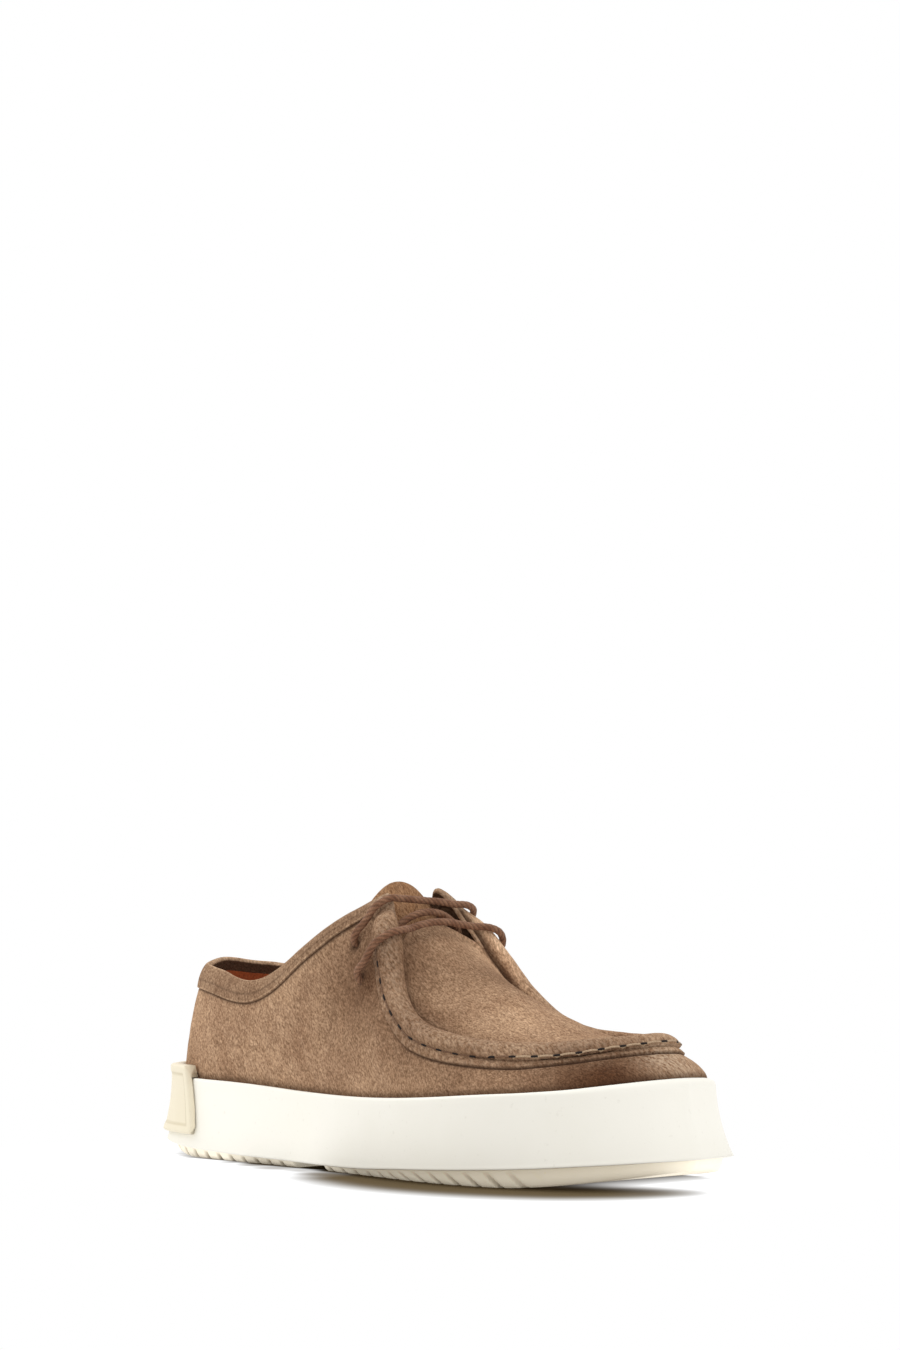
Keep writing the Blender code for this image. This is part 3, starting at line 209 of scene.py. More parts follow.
# Heel tab: share of the half outline it reaches at foot and top, its foot above the lower edge
# of the sidewall and its top above the rim, thickness of its field and of its border, gap of
# its lip to the upper and of its back to the sidewall
TAB_LOW_REACH = 0.176
TAB_TOP_REACH = 0.150
TAB_ABOVE_BASE = 3.8
TAB_ABOVE_RIM = 5.2
TAB_FIELD = 1.7
TAB_BORDER = 2.7
TAB_LIP_GAP = 0.9
TAB_GAP = 0.45


def table_value(table, at):
    """Smooth value of a two-column table at each share."""
    xs = np.array([row[0] for row in table], float)
    ys = np.array([row[1] for row in table], float)
    at = np.clip(np.asarray(at, float), xs[0], xs[-1])
    slopes = np.gradient(ys, xs)
    step = np.diff(xs)
    secant = np.diff(ys) / step
    for k in range(len(secant)):
        if abs(secant[k]) < 1e-9:
            slopes[k] = 0.0
            slopes[k + 1] = 0.0
    i = np.clip(np.searchsorted(xs, at) - 1, 0, len(xs) - 2)
    t = (at - xs[i]) / step[i]
    a = 2 * t**3 - 3 * t**2 + 1
    b = (t**3 - 2 * t**2 + t) * step[i]
    c = -2 * t**3 + 3 * t**2
    d = (t**3 - t**2) * step[i]
    return a * ys[i] + b * slopes[i] + c * ys[i + 1] + d * slopes[i + 1]


def through_rows(rows, at, closed):
    """Curve through rows of numbers at row positions, Catmull-Rom."""
    rows = np.asarray(rows, float)
    count = len(rows)
    at = np.asarray(at, float)
    i = np.floor(at).astype(int)
    if not closed:
        i = np.clip(i, 0, count - 2)
    t = (at - i)[:, None]
    if closed:
        a, b, c, d = (rows[(i + k) % count] for k in (-1, 0, 1, 2))
    else:
        first = 2 * rows[0] - rows[1]
        last = 2 * rows[-1] - rows[-2]
        padded = np.vstack([first, rows, last])
        a, b, c, d = (padded[i + k] for k in (0, 1, 2, 3))
    return 0.5 * (2 * b + (c - a) * t + (2 * a - 5 * b + 4 * c - d) * t**2
                  + (3 * b - a - 3 * c + d) * t**3)


def feather_curve(count):
    """Closed feather line: outer side first, from the heel; both halves in equal steps."""
    outer = [((s - 0.5) * FEATHER_LENGTH, -a * BALL_WIDTH / 2) for s, a, b in FEATHER_LINE]
    inner = [((s - 0.5) * FEATHER_LENGTH, b * BALL_WIDTH / 2) for s, a, b in FEATHER_LINE[1:]]
    rows = np.array(outer + inner[::-1])
    fine = through_rows(rows, np.arange(0, len(rows), 0.01), True)
    tip = int(fine[:, 0].argmax())
    halves = []
    for part in (fine[:tip + 1], np.vstack([fine[tip:], fine[:1]])):
        run = np.r_[0, np.cumsum(np.linalg.norm(np.diff(part, axis=0), axis=1))]
        at = np.linspace(0, run[-1], count // 2 + 1)[:-1]
        halves.append(np.c_[np.interp(at, run, part[:, 0]), np.interp(at, run, part[:, 1])])
    return np.vstack(halves)


def share_of(points):
    """Share of the length of the shoe, 0 at the heel and 1 at the toe."""
    return np.clip(points[:, 0] / FEATHER_LENGTH + 0.5, 0.0, 1.0)


def outward(points):
    """Unit normals in plan of a closed line that runs heel, outer side, toe."""
    run = np.roll(points, -1, axis=0) - np.roll(points, 1, axis=0)
    run = run / np.linalg.norm(run, axis=1)[:, None]
    return np.c_[run[:, 1], -run[:, 0]]


def section_rows():
    """All sections as one closed loop, outer side first, in millimetres of this last."""
    rows = []
    for row in OUTER_SECTIONS:
        rows.append((row[0], -row[1], row[2], row[3], -row[4], row[5]) + tuple(row[6:]))
    for row in INNER_SECTIONS[:0:-1]:
        rows.append(tuple(row))
    rows = np.array(rows, float)
    rows[:, [0, 3]] *= SCALE_X
    rows[:, [1, 4]] *= SCALE_Y
    rows[:, [2, 5]] *= SCALE_Z
    return rows


def height_of(table, share):
    """Height from a table, for this last."""
    return table_value(table, share) * SCALE_Z


# Where the frame stands against the tables, millimetres
SHIFT = np.array([0.824, -0.897, 0.0])

# Fineness of the pieces: columns of a ring or of the skin, and steps across the plug
SKIN_COLUMNS = 560
PLUG_ACROSS = 44
SOLE_RING = 480
TREAD_RING = 960
INSOLE_RING = 360
FINE_RING = 2400

# Stitching of the moccasin seam, millimetres
STITCH_PITCH = 8.8
STITCH_FIRST = 13.2
GROOVE_SINK = 0.30
PUCKER = 0.22
THREAD_RADIUS = 0.42
HOLE_HALF_LENGTH = 1.35
# The pale thread of the toe begins here, along x; its holes are finer
TOE_THREAD_FROM = 84.0

# Painted light and shade on the suede, with some turned nap and handling: place, reach, change of tone
NAP_AND_PAINTED_LIGHT = [
    ((128.0, -22.0, 46.0), 26.0, -0.43), ((8.0, -38.0, 66.0), 22.0, -0.05), ((112.0, -42.0, 44.0), 20.0, -0.08),
    ((58.0, -50.0, 46.0), 34.0, -0.10), ((-6.0, -36.0, 76.0), 26.0, -0.25),
    ((30.0, 6.0, 74.0), 24.0, -0.25), ((66.0, -8.0, 64.0), 24.0, 0.14),
    ((98.0, -14.0, 58.0), 20.0, 0.04), ((-128.0, -20.0, 62.0), 26.0, 0.06),
    ((-20.0, 30.0, 100.0), 24.0, -0.26), ((9.0, 28.0, 94.0), 16.0, 0.45),
    ((40.0, -40.0, 60.0), 18.0, -0.12), ((70.0, -44.0, 52.0), 20.0, -0.10),
    ((10.0, -30.0, 90.0), 16.0, -0.18), ((26.0, 27.0, 85.0), 13.0, 0.35),
]
# Worn pale suede: place, reach, strength
WORN = [
    ((-4.5, -17.5, 113.5), 4.0, 0.8), ((-8.0, -19.0, 112.0), 3.0, 0.6), ((-1.0, 20.0, 111.5), 4.5, 0.7),
    ((6.0, 22.5, 103.0), 3.0, 0.5), ((1.5, -19.5, 108.5), 3.5, 0.35), ((132.0, 8.0, 47.0), 12.0, 0.8),
    ((120.0, -20.0, 57.0), 7.0, 0.35), ((100.0, -31.0, 56.0), 8.0, 0.25),
]
# Soft folds of the near and far wall: side, points (x, z), depth, width
FOLDS = [
    (-1, [(-6.0, 74.0), (-14.0, 64.0), (-20.0, 52.0)], 0.9, 8.0),
    (-1, [(-24.0, 84.0), (-34.0, 70.0), (-40.0, 54.0)], 0.6, 10.0),
    (-1, [(-92.0, 62.0), (-94.0, 50.0)], 0.35, 6.0),
    (-1, [(-116.0, 60.0), (-118.0, 48.0)], 0.3, 7.0),
    (-1, [(44.0, 44.0), (60.0, 40.0), (78.0, 40.0)], 0.35, 5.0),
    (1, [(-6.0, 76.0), (-15.0, 64.0), (-22.0, 52.0)], 0.8, 8.0),
    (1, [(-28.0, 84.0), (-38.0, 70.0), (-44.0, 56.0)], 0.6, 10.0),
    (1, [(-94.0, 64.0), (-98.0, 50.0)], 0.35, 7.0),
    (1, [(40.0, 46.0), (58.0, 42.0), (76.0, 42.0)], 0.35, 5.0),
]
# Soft folds of the plug: points (x, y), depth, width
PLUG_FOLDS = [
    ([(30.0, -20.0), (50.0, -14.0), (70.0, -14.0)], 0.7, 7.0),
    ([(52.0, 22.0), (66.0, 6.0), (72.0, -8.0)], 0.5, 8.0),
    ([(84.0, 16.0), (92.0, 2.0), (90.0, -10.0)], 0.4, 7.0),
]


def to_frame(points):
    """Millimetres of the tables to metres of the frame."""
    return (np.asarray(points, float) - SHIFT) * MM


def strip(first, second):
    """Quads between two rows of as many indices."""
    return [(first[k], second[k], second[k + 1], first[k + 1]) for k in range(len(first) - 1)]


def sheet_faces(rows, columns, start=0):
    """Quads of a grid of points that starts at an index."""
    lines = [range(start + r * columns, start + (r + 1) * columns) for r in range(rows)]
    return [face for low, high in zip(lines[:-1], lines[1:]) for face in strip(high, low)]


def grid_normals(points, faces):
    """Vertex normals of a mesh of quads and triangles, by whole arrays."""
    quads = np.array([face if len(face) == 4 else (*face, face[-1]) for face in faces])
    corner = points[quads]
    across = np.cross(corner[:, 2] - corner[:, 0], corner[:, 3] - corner[:, 1])
    normals = np.zeros_like(points)
    for k in range(4):
        np.add.at(normals, quads[:, k], across)
    length = np.linalg.norm(normals, axis=1)
    return normals / np.maximum(length, 1e-12)[:, None]


def mesh_piece(name, points, faces, material, paint=None, slots=None, second=None):
    """Smooth mesh object in the frame from points in millimetres, riding on the root body."""
    mesh = bpy.data.meshes.new(name)
    clean = [tuple(dict.fromkeys(int(index) for index in face)) for face in faces]
    mesh.from_pydata([tuple(p) for p in to_frame(points)], [], clean)
    mesh.materials.append(material)
    if second is not None:
        mesh.materials.append(second)
        mesh.polygons.foreach_set("material_index", np.asarray(slots, int))
    mesh.polygons.foreach_set("use_smooth", np.ones(len(mesh.polygons), bool))
    values = np.tile(np.array([0.0, 0.0, 0.5, 1.0], dtype=np.float32), (len(points), 1))
    if paint is not None:
        values[:, :paint.shape[1]] = np.clip(paint, 0.0, 1.0)
    layer = mesh.color_attributes.new("paint", "FLOAT_COLOR", "POINT")
    layer.data.foreach_set("color", values.reshape(-1))
    mesh.update()
    piece = bpy.data.objects.new(name, mesh)
    bpy.context.scene.collection.objects.link(piece)
    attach(piece, "root")
    return piece


def soft_noise(points, size, seed):
    """Smooth noise between about -1 and 1, with features of a size in millimetres."""
    offset = Vector((seed * 17.3, seed * 5.1, seed * 9.7))
    return np.array([noise.noise(Vector(p) / size + offset) for p in points])


def near_spot(points, spot, reach):
    """One at a place, falling off round it."""
    return np.exp(-(np.linalg.norm(points - np.array(spot), axis=1) / reach) ** 2)


def nap_and_painted_light_of(points):
    """Tone of the suede at each point, painted light and shade with some turned nap; 0.5 where it is plain."""
    return 0.5 + sum(change * near_spot(points, spot, reach) for spot, reach, change in NAP_AND_PAINTED_LIGHT)


def worn_of(points):
    """How pale and worn the suede is at each point."""
    return np.max([strength * near_spot(points, spot, reach) for spot, reach, strength in WORN], axis=0)


def line_distance(spots, line):
    """Distance of each spot from a polyline in two columns."""
    best = np.full(len(spots), 1e9)
    for a, b in zip(np.array(line[:-1]), np.array(line[1:])):
        t = np.clip(((spots - a) @ (b - a)) / max(np.dot(b - a, b - a), 1e-9), 0.0, 1.0)
        best = np.minimum(best, np.linalg.norm(spots - a - t[:, None] * (b - a), axis=1))
    return best


def run_of(points):
    """Distance along a line at each of its points."""
    return np.r_[0, np.cumsum(np.linalg.norm(np.diff(points, axis=0), axis=1))]


# Rows of the fine upper, by kind: shares along each stretch
CUP_SHARES = [0.0, 0.5, 0.85]
RISE_SHARES = np.linspace(0.0, 1.0, 34)
# Cut edge of the flange: distance above it, share of the step
STEP_ROWS = [(0.05, 0.7), (0.18, 0.95), (0.5, 1.0)]
FLANGE_FOOT = 0.5
FLANGE_SHARES = [0.35, 0.65, 0.85]
ROLL_SHARES = [0.03, 0.07, 0.12, 0.18, 0.25, 0.33, 0.42, 0.51, 0.60, 0.69, 0.77, 0.84, 0.90, 0.95,
               0.98, 1.0]
# Share of the columns of one side behind the plug, bow of the wall from the sole to the seam,
# rim of the cup to the wall's first bare row, rounds of smoothing of the foot's columns
REAR_SHARE = 0.48
WALL_BOW = 1.6
RIM_SHOW = 0.6
FOOT_ROUNDS = 60


def column_rows(loop):
    """Row position of each column, with closer columns round the moccasin seam."""
    half = len(loop) // 2
    run = run_of(loop[:half + 1, 0:3])
    rear_count = int(round(SKIN_COLUMNS / 2 * REAR_SHARE))
    front_count = SKIN_COLUMNS // 2 - rear_count
    index = np.arange(half + 1)
    rear = np.interp(np.linspace(0, run[PLUG_ROW], rear_count + 1), run, index)
    front = np.interp(np.linspace(run[PLUG_ROW], run[half], front_count + 1), run, index)
    one_side = np.r_[rear[:-1], front]
    return np.r_[one_side, len(loop) - one_side[-2:0:-1]], rear_count


def foot_of(seam):
    """Point of the feather line under each column."""
    fine = feather_curve(FINE_RING)
    foot_at = np.linalg.norm(seam[:, None, 0:2] - fine[None], axis=2).argmin(axis=1).astype(float)
    foot_at[0] = 0
    for _ in range(FOOT_ROUNDS):
        turned = np.unwrap(foot_at * 2 * np.pi / FINE_RING) * FINE_RING / (2 * np.pi)
        padded = np.r_[turned[-1] - FINE_RING, turned, turned[0] + FINE_RING]
        foot_at = 0.25 * padded[:-2] + 0.5 * padded[1:-1] + 0.25 * padded[2:]
    wrapped = np.vstack([fine, fine[:1]])
    index = np.arange(FINE_RING + 1)
    return np.column_stack([np.interp(foot_at % FINE_RING, index, wrapped[:, k]) for k in (0, 1)])


def fine_wall(rows, run, start):
    """Wall, flange, roll and binding, columns by rows: x, y, z, level, darkness, lightness."""
    seam, edge = rows[:, 0:3], rows[:, 3:6]
    cut, step, roll = rows[:, 6], rows[:, 7], np.maximum(rows[:, 8], 0.0)
    foot = foot_of(seam)
    share = share_of(foot)
    low = height_of(FLOOR_HEIGHT, share) + FIT_GAP
    rim = height_of(RIM_HEIGHT, share) + RIM_SHOW
    top = seam[:, 2]

    def wall_point(height):
        gain = np.clip((height - rim) / (top - rim), 0.0, 1.0) ** WALL_BOW
        return np.c_[foot + (seam[:, 0:2] - foot) * gain[:, None], height]

    inset = np.linalg.norm(seam[:, 0:2] - foot, axis=1)
    slope = np.hypot(1.0, inset * WALL_BOW / (top - rim))
    cut_height = top - cut / slope
    flange_foot = cut_height + FLANGE_FOOT / slope
    stitched = np.clip(roll / 2.0, 0.0, 1.0)
    wave = 0.5 - 0.5 * np.cos(2 * np.pi * (run - start - STITCH_FIRST) / STITCH_PITCH)
    grid = []

    def add_row(spots, *values):
        grid.append(np.column_stack([spots] + [np.broadcast_to(v, len(spots)) for v in values]))

    for s in CUP_SHARES:
        # the part of the wall inside the cup is painted darker: painted shade
        add_row(wall_point(low + (rim - low) * s), 0.0, 0.5, 0.0)
    for s in RISE_SHARES:
        height = rim + (cut_height - rim) * s
        # painted shade just below the cut edge of the flange; foot_dark makes the wall darker just above the
        # rim
        crowd = np.exp(-((cut_height - height) * slope / 0.7) ** 2)
        foot_dark = 0.55 * np.exp(-((height - rim) / 1.6) ** 2)
        add_row(wall_point(height), -0.25 * crowd, np.maximum(crowd * 0.9, foot_dark), 0.0)
    for lift, part in STEP_ROWS:
        # the step of the cut edge is painted darker: painted shade
        add_row(wall_point(cut_height + lift / slope), step * part, 0.35 * (1 - lift / FLANGE_FOOT), 0.15)
    for s in FLANGE_SHARES:
        swell = 0.25 * math.sin(math.pi * s) + PUCKER * wave * s
        add_row(wall_point(flange_foot + (top - flange_foot) * s), step + stitched * swell, 0.0, 0.12)
    add_row(seam, step - stitched * GROOVE_SINK + stitched * 0.2 * wave, 0.16 * stitched, 0.0)
    chord = edge - seam
    side = np.cross(np.roll(seam, -1, axis=0) - np.roll(seam, 1, axis=0), chord)
    side = side / np.linalg.norm(side, axis=1)[:, None]
    bulge = np.linalg.norm(chord, axis=1) * (0.05 + 0.10 * np.clip(roll / 3.0, 0, 1))
    for s in ROLL_SHARES:
        hump = max(0.0, 1 - (2 * s - 1) ** 2) ** 0.4
        flat = np.where(roll > 0.5, 1 - s, 1.0 - 0.45 * s**6)
        near_seam = math.exp(-(s / 0.1) ** 2)
        level = step * flat + roll * hump + stitched * PUCKER * wave * near_seam
        # painted shade towards the inner edge of the roll, where it meets the plug
        crease_shade = stitched * (0.08 * near_seam + 0.9 * max(0.0, (s - 0.86) / 0.14) ** 1.5)
        # the binding is darker across its width, with painted shade at its fold
        binding = (1 - stitched) * (0.30 + 0.30 * math.exp(-((s - 0.33) / 0.05) ** 2))
        light = stitched * 0.22 * max(0.0, math.sin(math.pi * min(1.0, s / 0.8)))
        spots = seam + chord * s + side * (bulge * 4 * s * (1 - s))[:, None]
        add_row(spots, level, np.maximum(crease_shade, binding), light)
    return np.stack(grid, axis=1)


def fine_plug(at, first, left, right):
    """Rows across the plug between the edges of the roll, in the same six values."""
    order = np.arange(first, SKIN_COLUMNS // 2)
    data = through_rows(PLUG_SECTIONS, at[order] - PLUG_ROW, False)
    u = np.linspace(-1, 1, PLUG_ACROSS + 1)[1:-1]
    u = 0.995 * np.sign(u) * np.abs(u) ** 0.8
    count = len(u)
    gap = np.minimum(np.arange(1, count + 1), np.arange(count, 0, -1))
    shade = 0.8 * np.exp(-(gap / 1.6) ** 2)
    rows = []
    for (crest, bow, fullness), start, end in zip(data, left[order], right[order]):
        line = start + (end - start) * (0.5 + 0.5 * u)[:, None]
        line[:, 0] += bow * SCALE_X * (1 - u**2)
        line[:, 2] += (crest * SCALE_Z - 0.5 * (start[2] + end[2])) * (1 - np.abs(u) ** fullness)
        rows.append(np.c_[line, np.zeros(count), shade, np.zeros(count)])
    return order, np.array(rows)


def relief(points, wall, dark):
    """Folds, unevenness, heel seam and eyelets: height over the surface, and the darkness, with painted shade
    in the eyelet holes.
    """
    lift = np.zeros(len(points))
    for side, line, sink, width in FOLDS:
        away = line_distance(points[:, [0, 2]], line)
        mask = wall & (np.sign(points[:, 1]) == side) & (points[:, 2] > 38)
        lift -= mask * sink * np.exp(-(away / width) ** 2)
    for line, sink, width in PLUG_FOLDS:
        lift -= ~wall * sink * np.exp(-(line_distance(points[:, [0, 1]], line) / width) ** 2)
    calm = np.clip((points[:, 2] - 36.0) / 8.0, 0.0, 1.0)
    lift += calm * (0.28 * soft_noise(points, 16.0, 1) + 0.12 * soft_noise(points, 6.0, 2))
    back = (points[:, 0] < -120) & (points[:, 2] > 37) & (points[:, 2] < 76)
    heel_seam = back * np.exp(-(points[:, 1] / 0.8) ** 2)
    lift -= 0.7 * heel_seam
    dark = np.maximum(dark, heel_seam)
    spots = points[wall]
    for side, x, z in EYELETS:
        off = np.hypot(spots[:, 0] - x * SCALE_X, spots[:, 2] - z * SCALE_Z)
        off = off + np.where(np.sign(spots[:, 1]) == side, 0.0, 1e3)
        away = np.linalg.norm(points - spots[off.argmin()], axis=1)
        lift -= wall * 1.5 * np.exp(-(away / 1.9) ** 4)
        # painted shade stands for the open eyelet hole
        dark = np.maximum(dark, wall * 0.95 * np.exp(-(away / 2.6) ** 4))
    return lift, dark


def build_upper_skin(suede, lining):
    """Outer skin, turned edge and inner skin of the upper as one closed piece."""
    loop = section_rows()
    at, first = column_rows(loop)
    rows = through_rows(loop, at, True)
    run = run_of(rows[:, 0:3])
    start = run[np.argmax(rows[:, 8] > 1.0)]
    wall = fine_wall(rows, run, start)
    columns, high = wall.shape[:2]
    half, top = columns // 2, high - 1
    seam_row = high - 1 - len(ROLL_SHARES)
    edge = wall[:, top, 0:3]
    order, plug = fine_plug(at, first, edge, edge[-np.arange(columns)])
    cells = np.vstack([wall.reshape(-1, 6), plug.reshape(-1, 6)])
    points, level, colour = cells[:, 0:3], cells[:, 3], cells[:, 4:6].copy()
    on_wall = np.arange(len(points)) < columns * high
    plug_ids = np.arange(columns * high, len(points)).reshape(len(order), -1)
    across = {i: [i * high + top, *ids, (columns - i) * high + top] for i, ids in zip(order, plug_ids)}

    def skin(row_list):
        lines = [[i % columns * high + r for r in row_list] for i in range(columns + 1)]
        faces = [face for a, b in zip(lines[:-1], lines[1:]) for face in strip(a, b)]
        for i in range(first, half - 1):
            faces += strip(across[i], across[i + 1])
        last = across[half - 1]
        return faces + [(last[k], half * high + top, last[k + 1]) for k in range(len(last) - 1)]

    faces = skin(range(high))
    rolled_rows = [seam_row + k for k in (0, 4, 8, 11, 14)]
    inner_faces = skin([0, 2, *range(4, seam_row), *rolled_rows, top])
    normals = grid_normals(points, faces)
    if ((points - points.mean(axis=0)) * normals).sum() < 0:
        normals = -normals
    inner_normals = grid_normals(points, inner_faces)
    inner_normals *= np.sign((inner_normals * normals).sum(axis=1))[:, None]
    lift, colour[:, 0] = relief(points, on_wall, colour[:, 0])
    outer = points + normals * (level + lift)[:, None]
    inside = points + inner_normals * (np.minimum(lift, 0.0) - UPPER_WALL)[:, None]
    foot_row = np.arange(columns) * high
    outer[foot_row, 2] = points[foot_row, 2]
    inside[foot_row, 2] = points[foot_row, 2]

    used = sorted({index for face in inner_faces for index in face})
    inner_id = {index: len(points) + k for k, index in enumerate(used)}
    slots = [0] * len(faces)
    for face in inner_faces:
        faces.append(tuple(inner_id[index] for index in reversed(face)))
        covered = 6.0 + 0.55 * max(0.0, points[list(face), 0].mean() + 60.0)
        edge_point = edge[face[0] // high] if on_wall[face[0]] else None
        below = 50.0 if edge_point is None else np.linalg.norm(edge_point - points[face[0]])
        slots.append(1 if below > covered else 0)

    turn = np.linspace(0, math.pi, 7)[1:-1]
    ends = np.arange(columns - first, columns + first + 1) % columns * high + top
    arm = (outer[ends] - inside[ends]) / 2
    way = points[ends] - points[ends - 6]
    way = way / np.linalg.norm(way, axis=1)[:, None]
    reach = way * np.linalg.norm(arm, axis=1)[:, None] * 0.75
    rim = ((outer[ends] + inside[ends]) / 2)[:, None] + arm[:, None] * np.cos(turn)[:, None] \
        + reach[:, None] * np.sin(turn)[:, None]
    rim_ids = len(points) + len(used) + np.arange(len(ends) * len(turn)).reshape(len(ends), -1)
    rims = [[end, *ids, inner_id[end]] for end, ids in zip(ends, rim_ids)]
    for a, b in zip(rims[:-1], rims[1:]):
        faces += strip(a, b)
    foot = [*foot_row, 0]
    faces += strip(foot, [inner_id[i] for i in foot])
    rear = across[first]
    faces += strip([inner_id[i] for i in rear], rear)
    faces += [tuple(rims[-1][::-1]), tuple(rims[0])]
    slots += [0] * (len(faces) - len(slots))

    everything = np.vstack([outer, inside[used], rim.reshape(-1, 3)])
    # the inner skin of suede is painted dark: painted shade inside the shoe
    shades = np.vstack([colour, np.tile([0.82, 0.0], (len(used), 1)), np.tile([0.05, 0.3], (rim_ids.size, 1))])
    shades[:, 1] = np.maximum(shades[:, 1], worn_of(everything))
    shades = np.c_[shades, nap_and_painted_light_of(everything)]
    piece = mesh_piece("upper_skin", everything, faces, suede, shades, slots, lining)
    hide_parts("upper")
    seam = foot_row + seam_row
    on_toe = np.clip((points[seam, 0] - 70.0) / 20.0, 0.0, 1.0)[:, None]
    return outer[seam] * (1 - on_toe) + outer[seam + 2] * on_toe, normals[seam], run, start, rows[:, 8]


def tube_rings(line, radius, sides, up=(0.0, 0.0, 1.0)):
    """Points and faces of a tube along a line; radius is one number or rings by sides."""
    tangent = np.gradient(line, axis=0)
    tangent = tangent / np.linalg.norm(tangent, axis=1)[:, None]
    normal = np.cross(tangent[0], up)
    angle = np.arange(sides) * 2 * np.pi / sides
    radius = np.broadcast_to(radius, (len(line), sides))
    points, faces = [], []
    for k, way in enumerate(tangent):
        normal = normal - way * np.dot(normal, way)
        normal = normal / np.linalg.norm(normal)
        ring = np.cos(angle)[:, None] * normal + np.sin(angle)[:, None] * np.cross(way, normal)
        points.append(line[k] + radius[k][:, None] * ring)
    rings = [[*range(k * sides, (k + 1) * sides), k * sides] for k in range(len(line))]
    for a, b in zip(rings[:-1], rings[1:]):
        faces += strip(b, a)
    faces += [tuple(rings[0][-2::-1]), tuple(rings[-1][:-1])]
    return np.vstack(points), faces


def even_line(path, step):
    """Smooth line through a path at even distances, and its length."""
    path = np.asarray(path, float)
    fine = through_rows(path, np.linspace(0, len(path) - 1, len(path) * 40), False)
    run = run_of(fine)
    at = np.linspace(0, run[-1], max(2, int(run[-1] / step)))
    return np.stack([np.interp(at, run, fine[:, k]) for k in range(3)], axis=1), run[-1]


LACE_STRANDS = 4
LACE_TWIST = 10.5
LACE_STEP = 0.5
LACE_SIDES = 24


def build_lace(cord_material):
    """Round twisted lace through the four eyelets, with its strands as ridges."""
    path = np.array(LACE_PATH) * np.array([SCALE_X, SCALE_Y, SCALE_Z])
    line, length = even_line(path, LACE_STEP)
    angle = np.arange(LACE_SIDES) * 2 * np.pi / LACE_SIDES
    turn = angle - 2 * np.pi * np.arange(len(line))[:, None] * LACE_STEP / LACE_TWIST
    ridge = np.abs(np.cos(LACE_STRANDS / 2 * turn)) ** 0.7
    points, faces = tube_rings(line, LACE_DIAMETER / 2 * (0.90 + 0.16 * ridge), LACE_SIDES)
    # the paint darkens the cord between its strands: painted shade
    piece = mesh_piece("lace_cord", points, faces, cord_material, (1 - ridge).reshape(-1, 1))
    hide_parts("lace")


def crowded(count, rim):
    """Positions from 0 to 1 with extra ones close to both ends."""
    edge = rim * np.array([0.0, 0.12, 0.35, 0.7])
    return np.r_[edge, np.linspace(rim, 1 - rim, count), (1 - edge)[::-1]]


def edge_taper(position, rim):
    """Round edge: nothing at the ends, one from a rim inwards."""
    reach = np.clip(np.minimum(position, 1 - position) / rim, 0.0, 1.0)
    return np.sqrt(np.maximum(0.02, 1 - (1 - reach) ** 2))


def both_tapers(along, across, rim_along, rim_across):
    """Lower of the two tapers at each place of a sheet, as one list."""
    ends, sides = edge_taper(along, rim_along), edge_taper(across, rim_across)
    return np.minimum(ends[:, None], sides[None, :]).reshape(-1)


def build_tongue(suede):
    """Tongue of soft suede with a rounded edge and a slight dish."""
    along, across = crowded(52, 0.03), crowded(44, 0.035)
    rows, columns = len(along), len(across)
    x, z, half, drop = through_rows(TONGUE_SECTIONS, along * (len(TONGUE_SECTIONS) - 1), False).T[:, :, None]
    u = across * 2 - 1
    grid = np.stack([x * SCALE_X + 0 * u, u * half * SCALE_Y, (z - drop * u**2) * SCALE_Z], axis=2)
    points = grid.reshape(-1, 3)
    points[:, 2] += 0.25 * soft_noise(points, 9.0, 5)
    faces = sheet_faces(rows, columns)
    normals = grid_normals(points, faces)
    if normals[:, 2].sum() < 0:
        normals = -normals
        faces = [tuple(reversed(face)) for face in faces]
    lift = normals * (TONGUE_THICKNESS / 2 * both_tapers(along, across, 0.03, 0.035))[:, None]
    total = len(points)
    faces += [tuple(index + total for index in reversed(face)) for face in faces]
    index = np.arange(total).reshape(rows, columns)
    border = np.r_[index[0], index[1:, -1], index[-1, -2::-1], index[-2::-1, 0]]
    faces += strip(border, border + total)
    paint = np.tile([0.15, 0.0], (2 * total, 1))
    paint[:, 1] = np.tile(0.8 * (1 - both_tapers(along, across, 0.06, 0.06)), 2)
    piece = mesh_piece("tongue_suede", np.vstack([points + lift, points - lift]), faces, suede, paint)
    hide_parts("tongue")


def ring_loop(columns, first, last):
    """Columns of the outline that border a pad, outer side then inner side."""
    outer = list(range(first, last + 1))
    inner = [columns - i for i in range(last, first - 1, -1) if i not in (0, columns // 2)]
    return [i % columns for i in outer + inner]


def ring_stack(rings, columns, first, last, inner_strips=1):
    """Closed solid from rings of points, lowest first, with strips across its ends."""
    ids = ring_loop(columns, first, last)
    count = len(ids)
    points = [ring[ids] for ring in rings]
    loops = [[*range(level * count, (level + 1) * count), level * count] for level in range(len(rings))]
    faces = [face for low, high in zip(loops[:-1], loops[1:]) for face in strip(high, low)]
    total = count * len(rings)
    where = {column: k for k, column in enumerate(ids)}
    share = np.linspace(0, 1, inner_strips + 1)[1:-1]
    for level, turned in ((0, True), (len(rings) - 1, False)):
        ring = points[level]
        lines = []
        for i in range(first, last + 1):
            a, b = where[i % columns], where[(columns - i) % columns]
            if a == b:
                lines.append([level * count + a])
                continue
            points.append(ring[a] + (ring[b] - ring[a]) * share[:, None])
            lines.append([level * count + a, *range(total, total + len(share)), level * count + b])
            total += len(share)
        for a, b in zip(lines[:-1], lines[1:]):
            if len(a) == 1:
                strips = [(a[0], b[k], b[k + 1]) for k in range(len(b) - 1)]
            elif len(b) == 1:
                strips = [(a[k], b[0], a[k + 1]) for k in range(len(a) - 1)]
            else:
                strips = strip(a, b)
            faces += [tuple(reversed(face)) if turned else face for face in strips]
    return np.vstack(points), faces


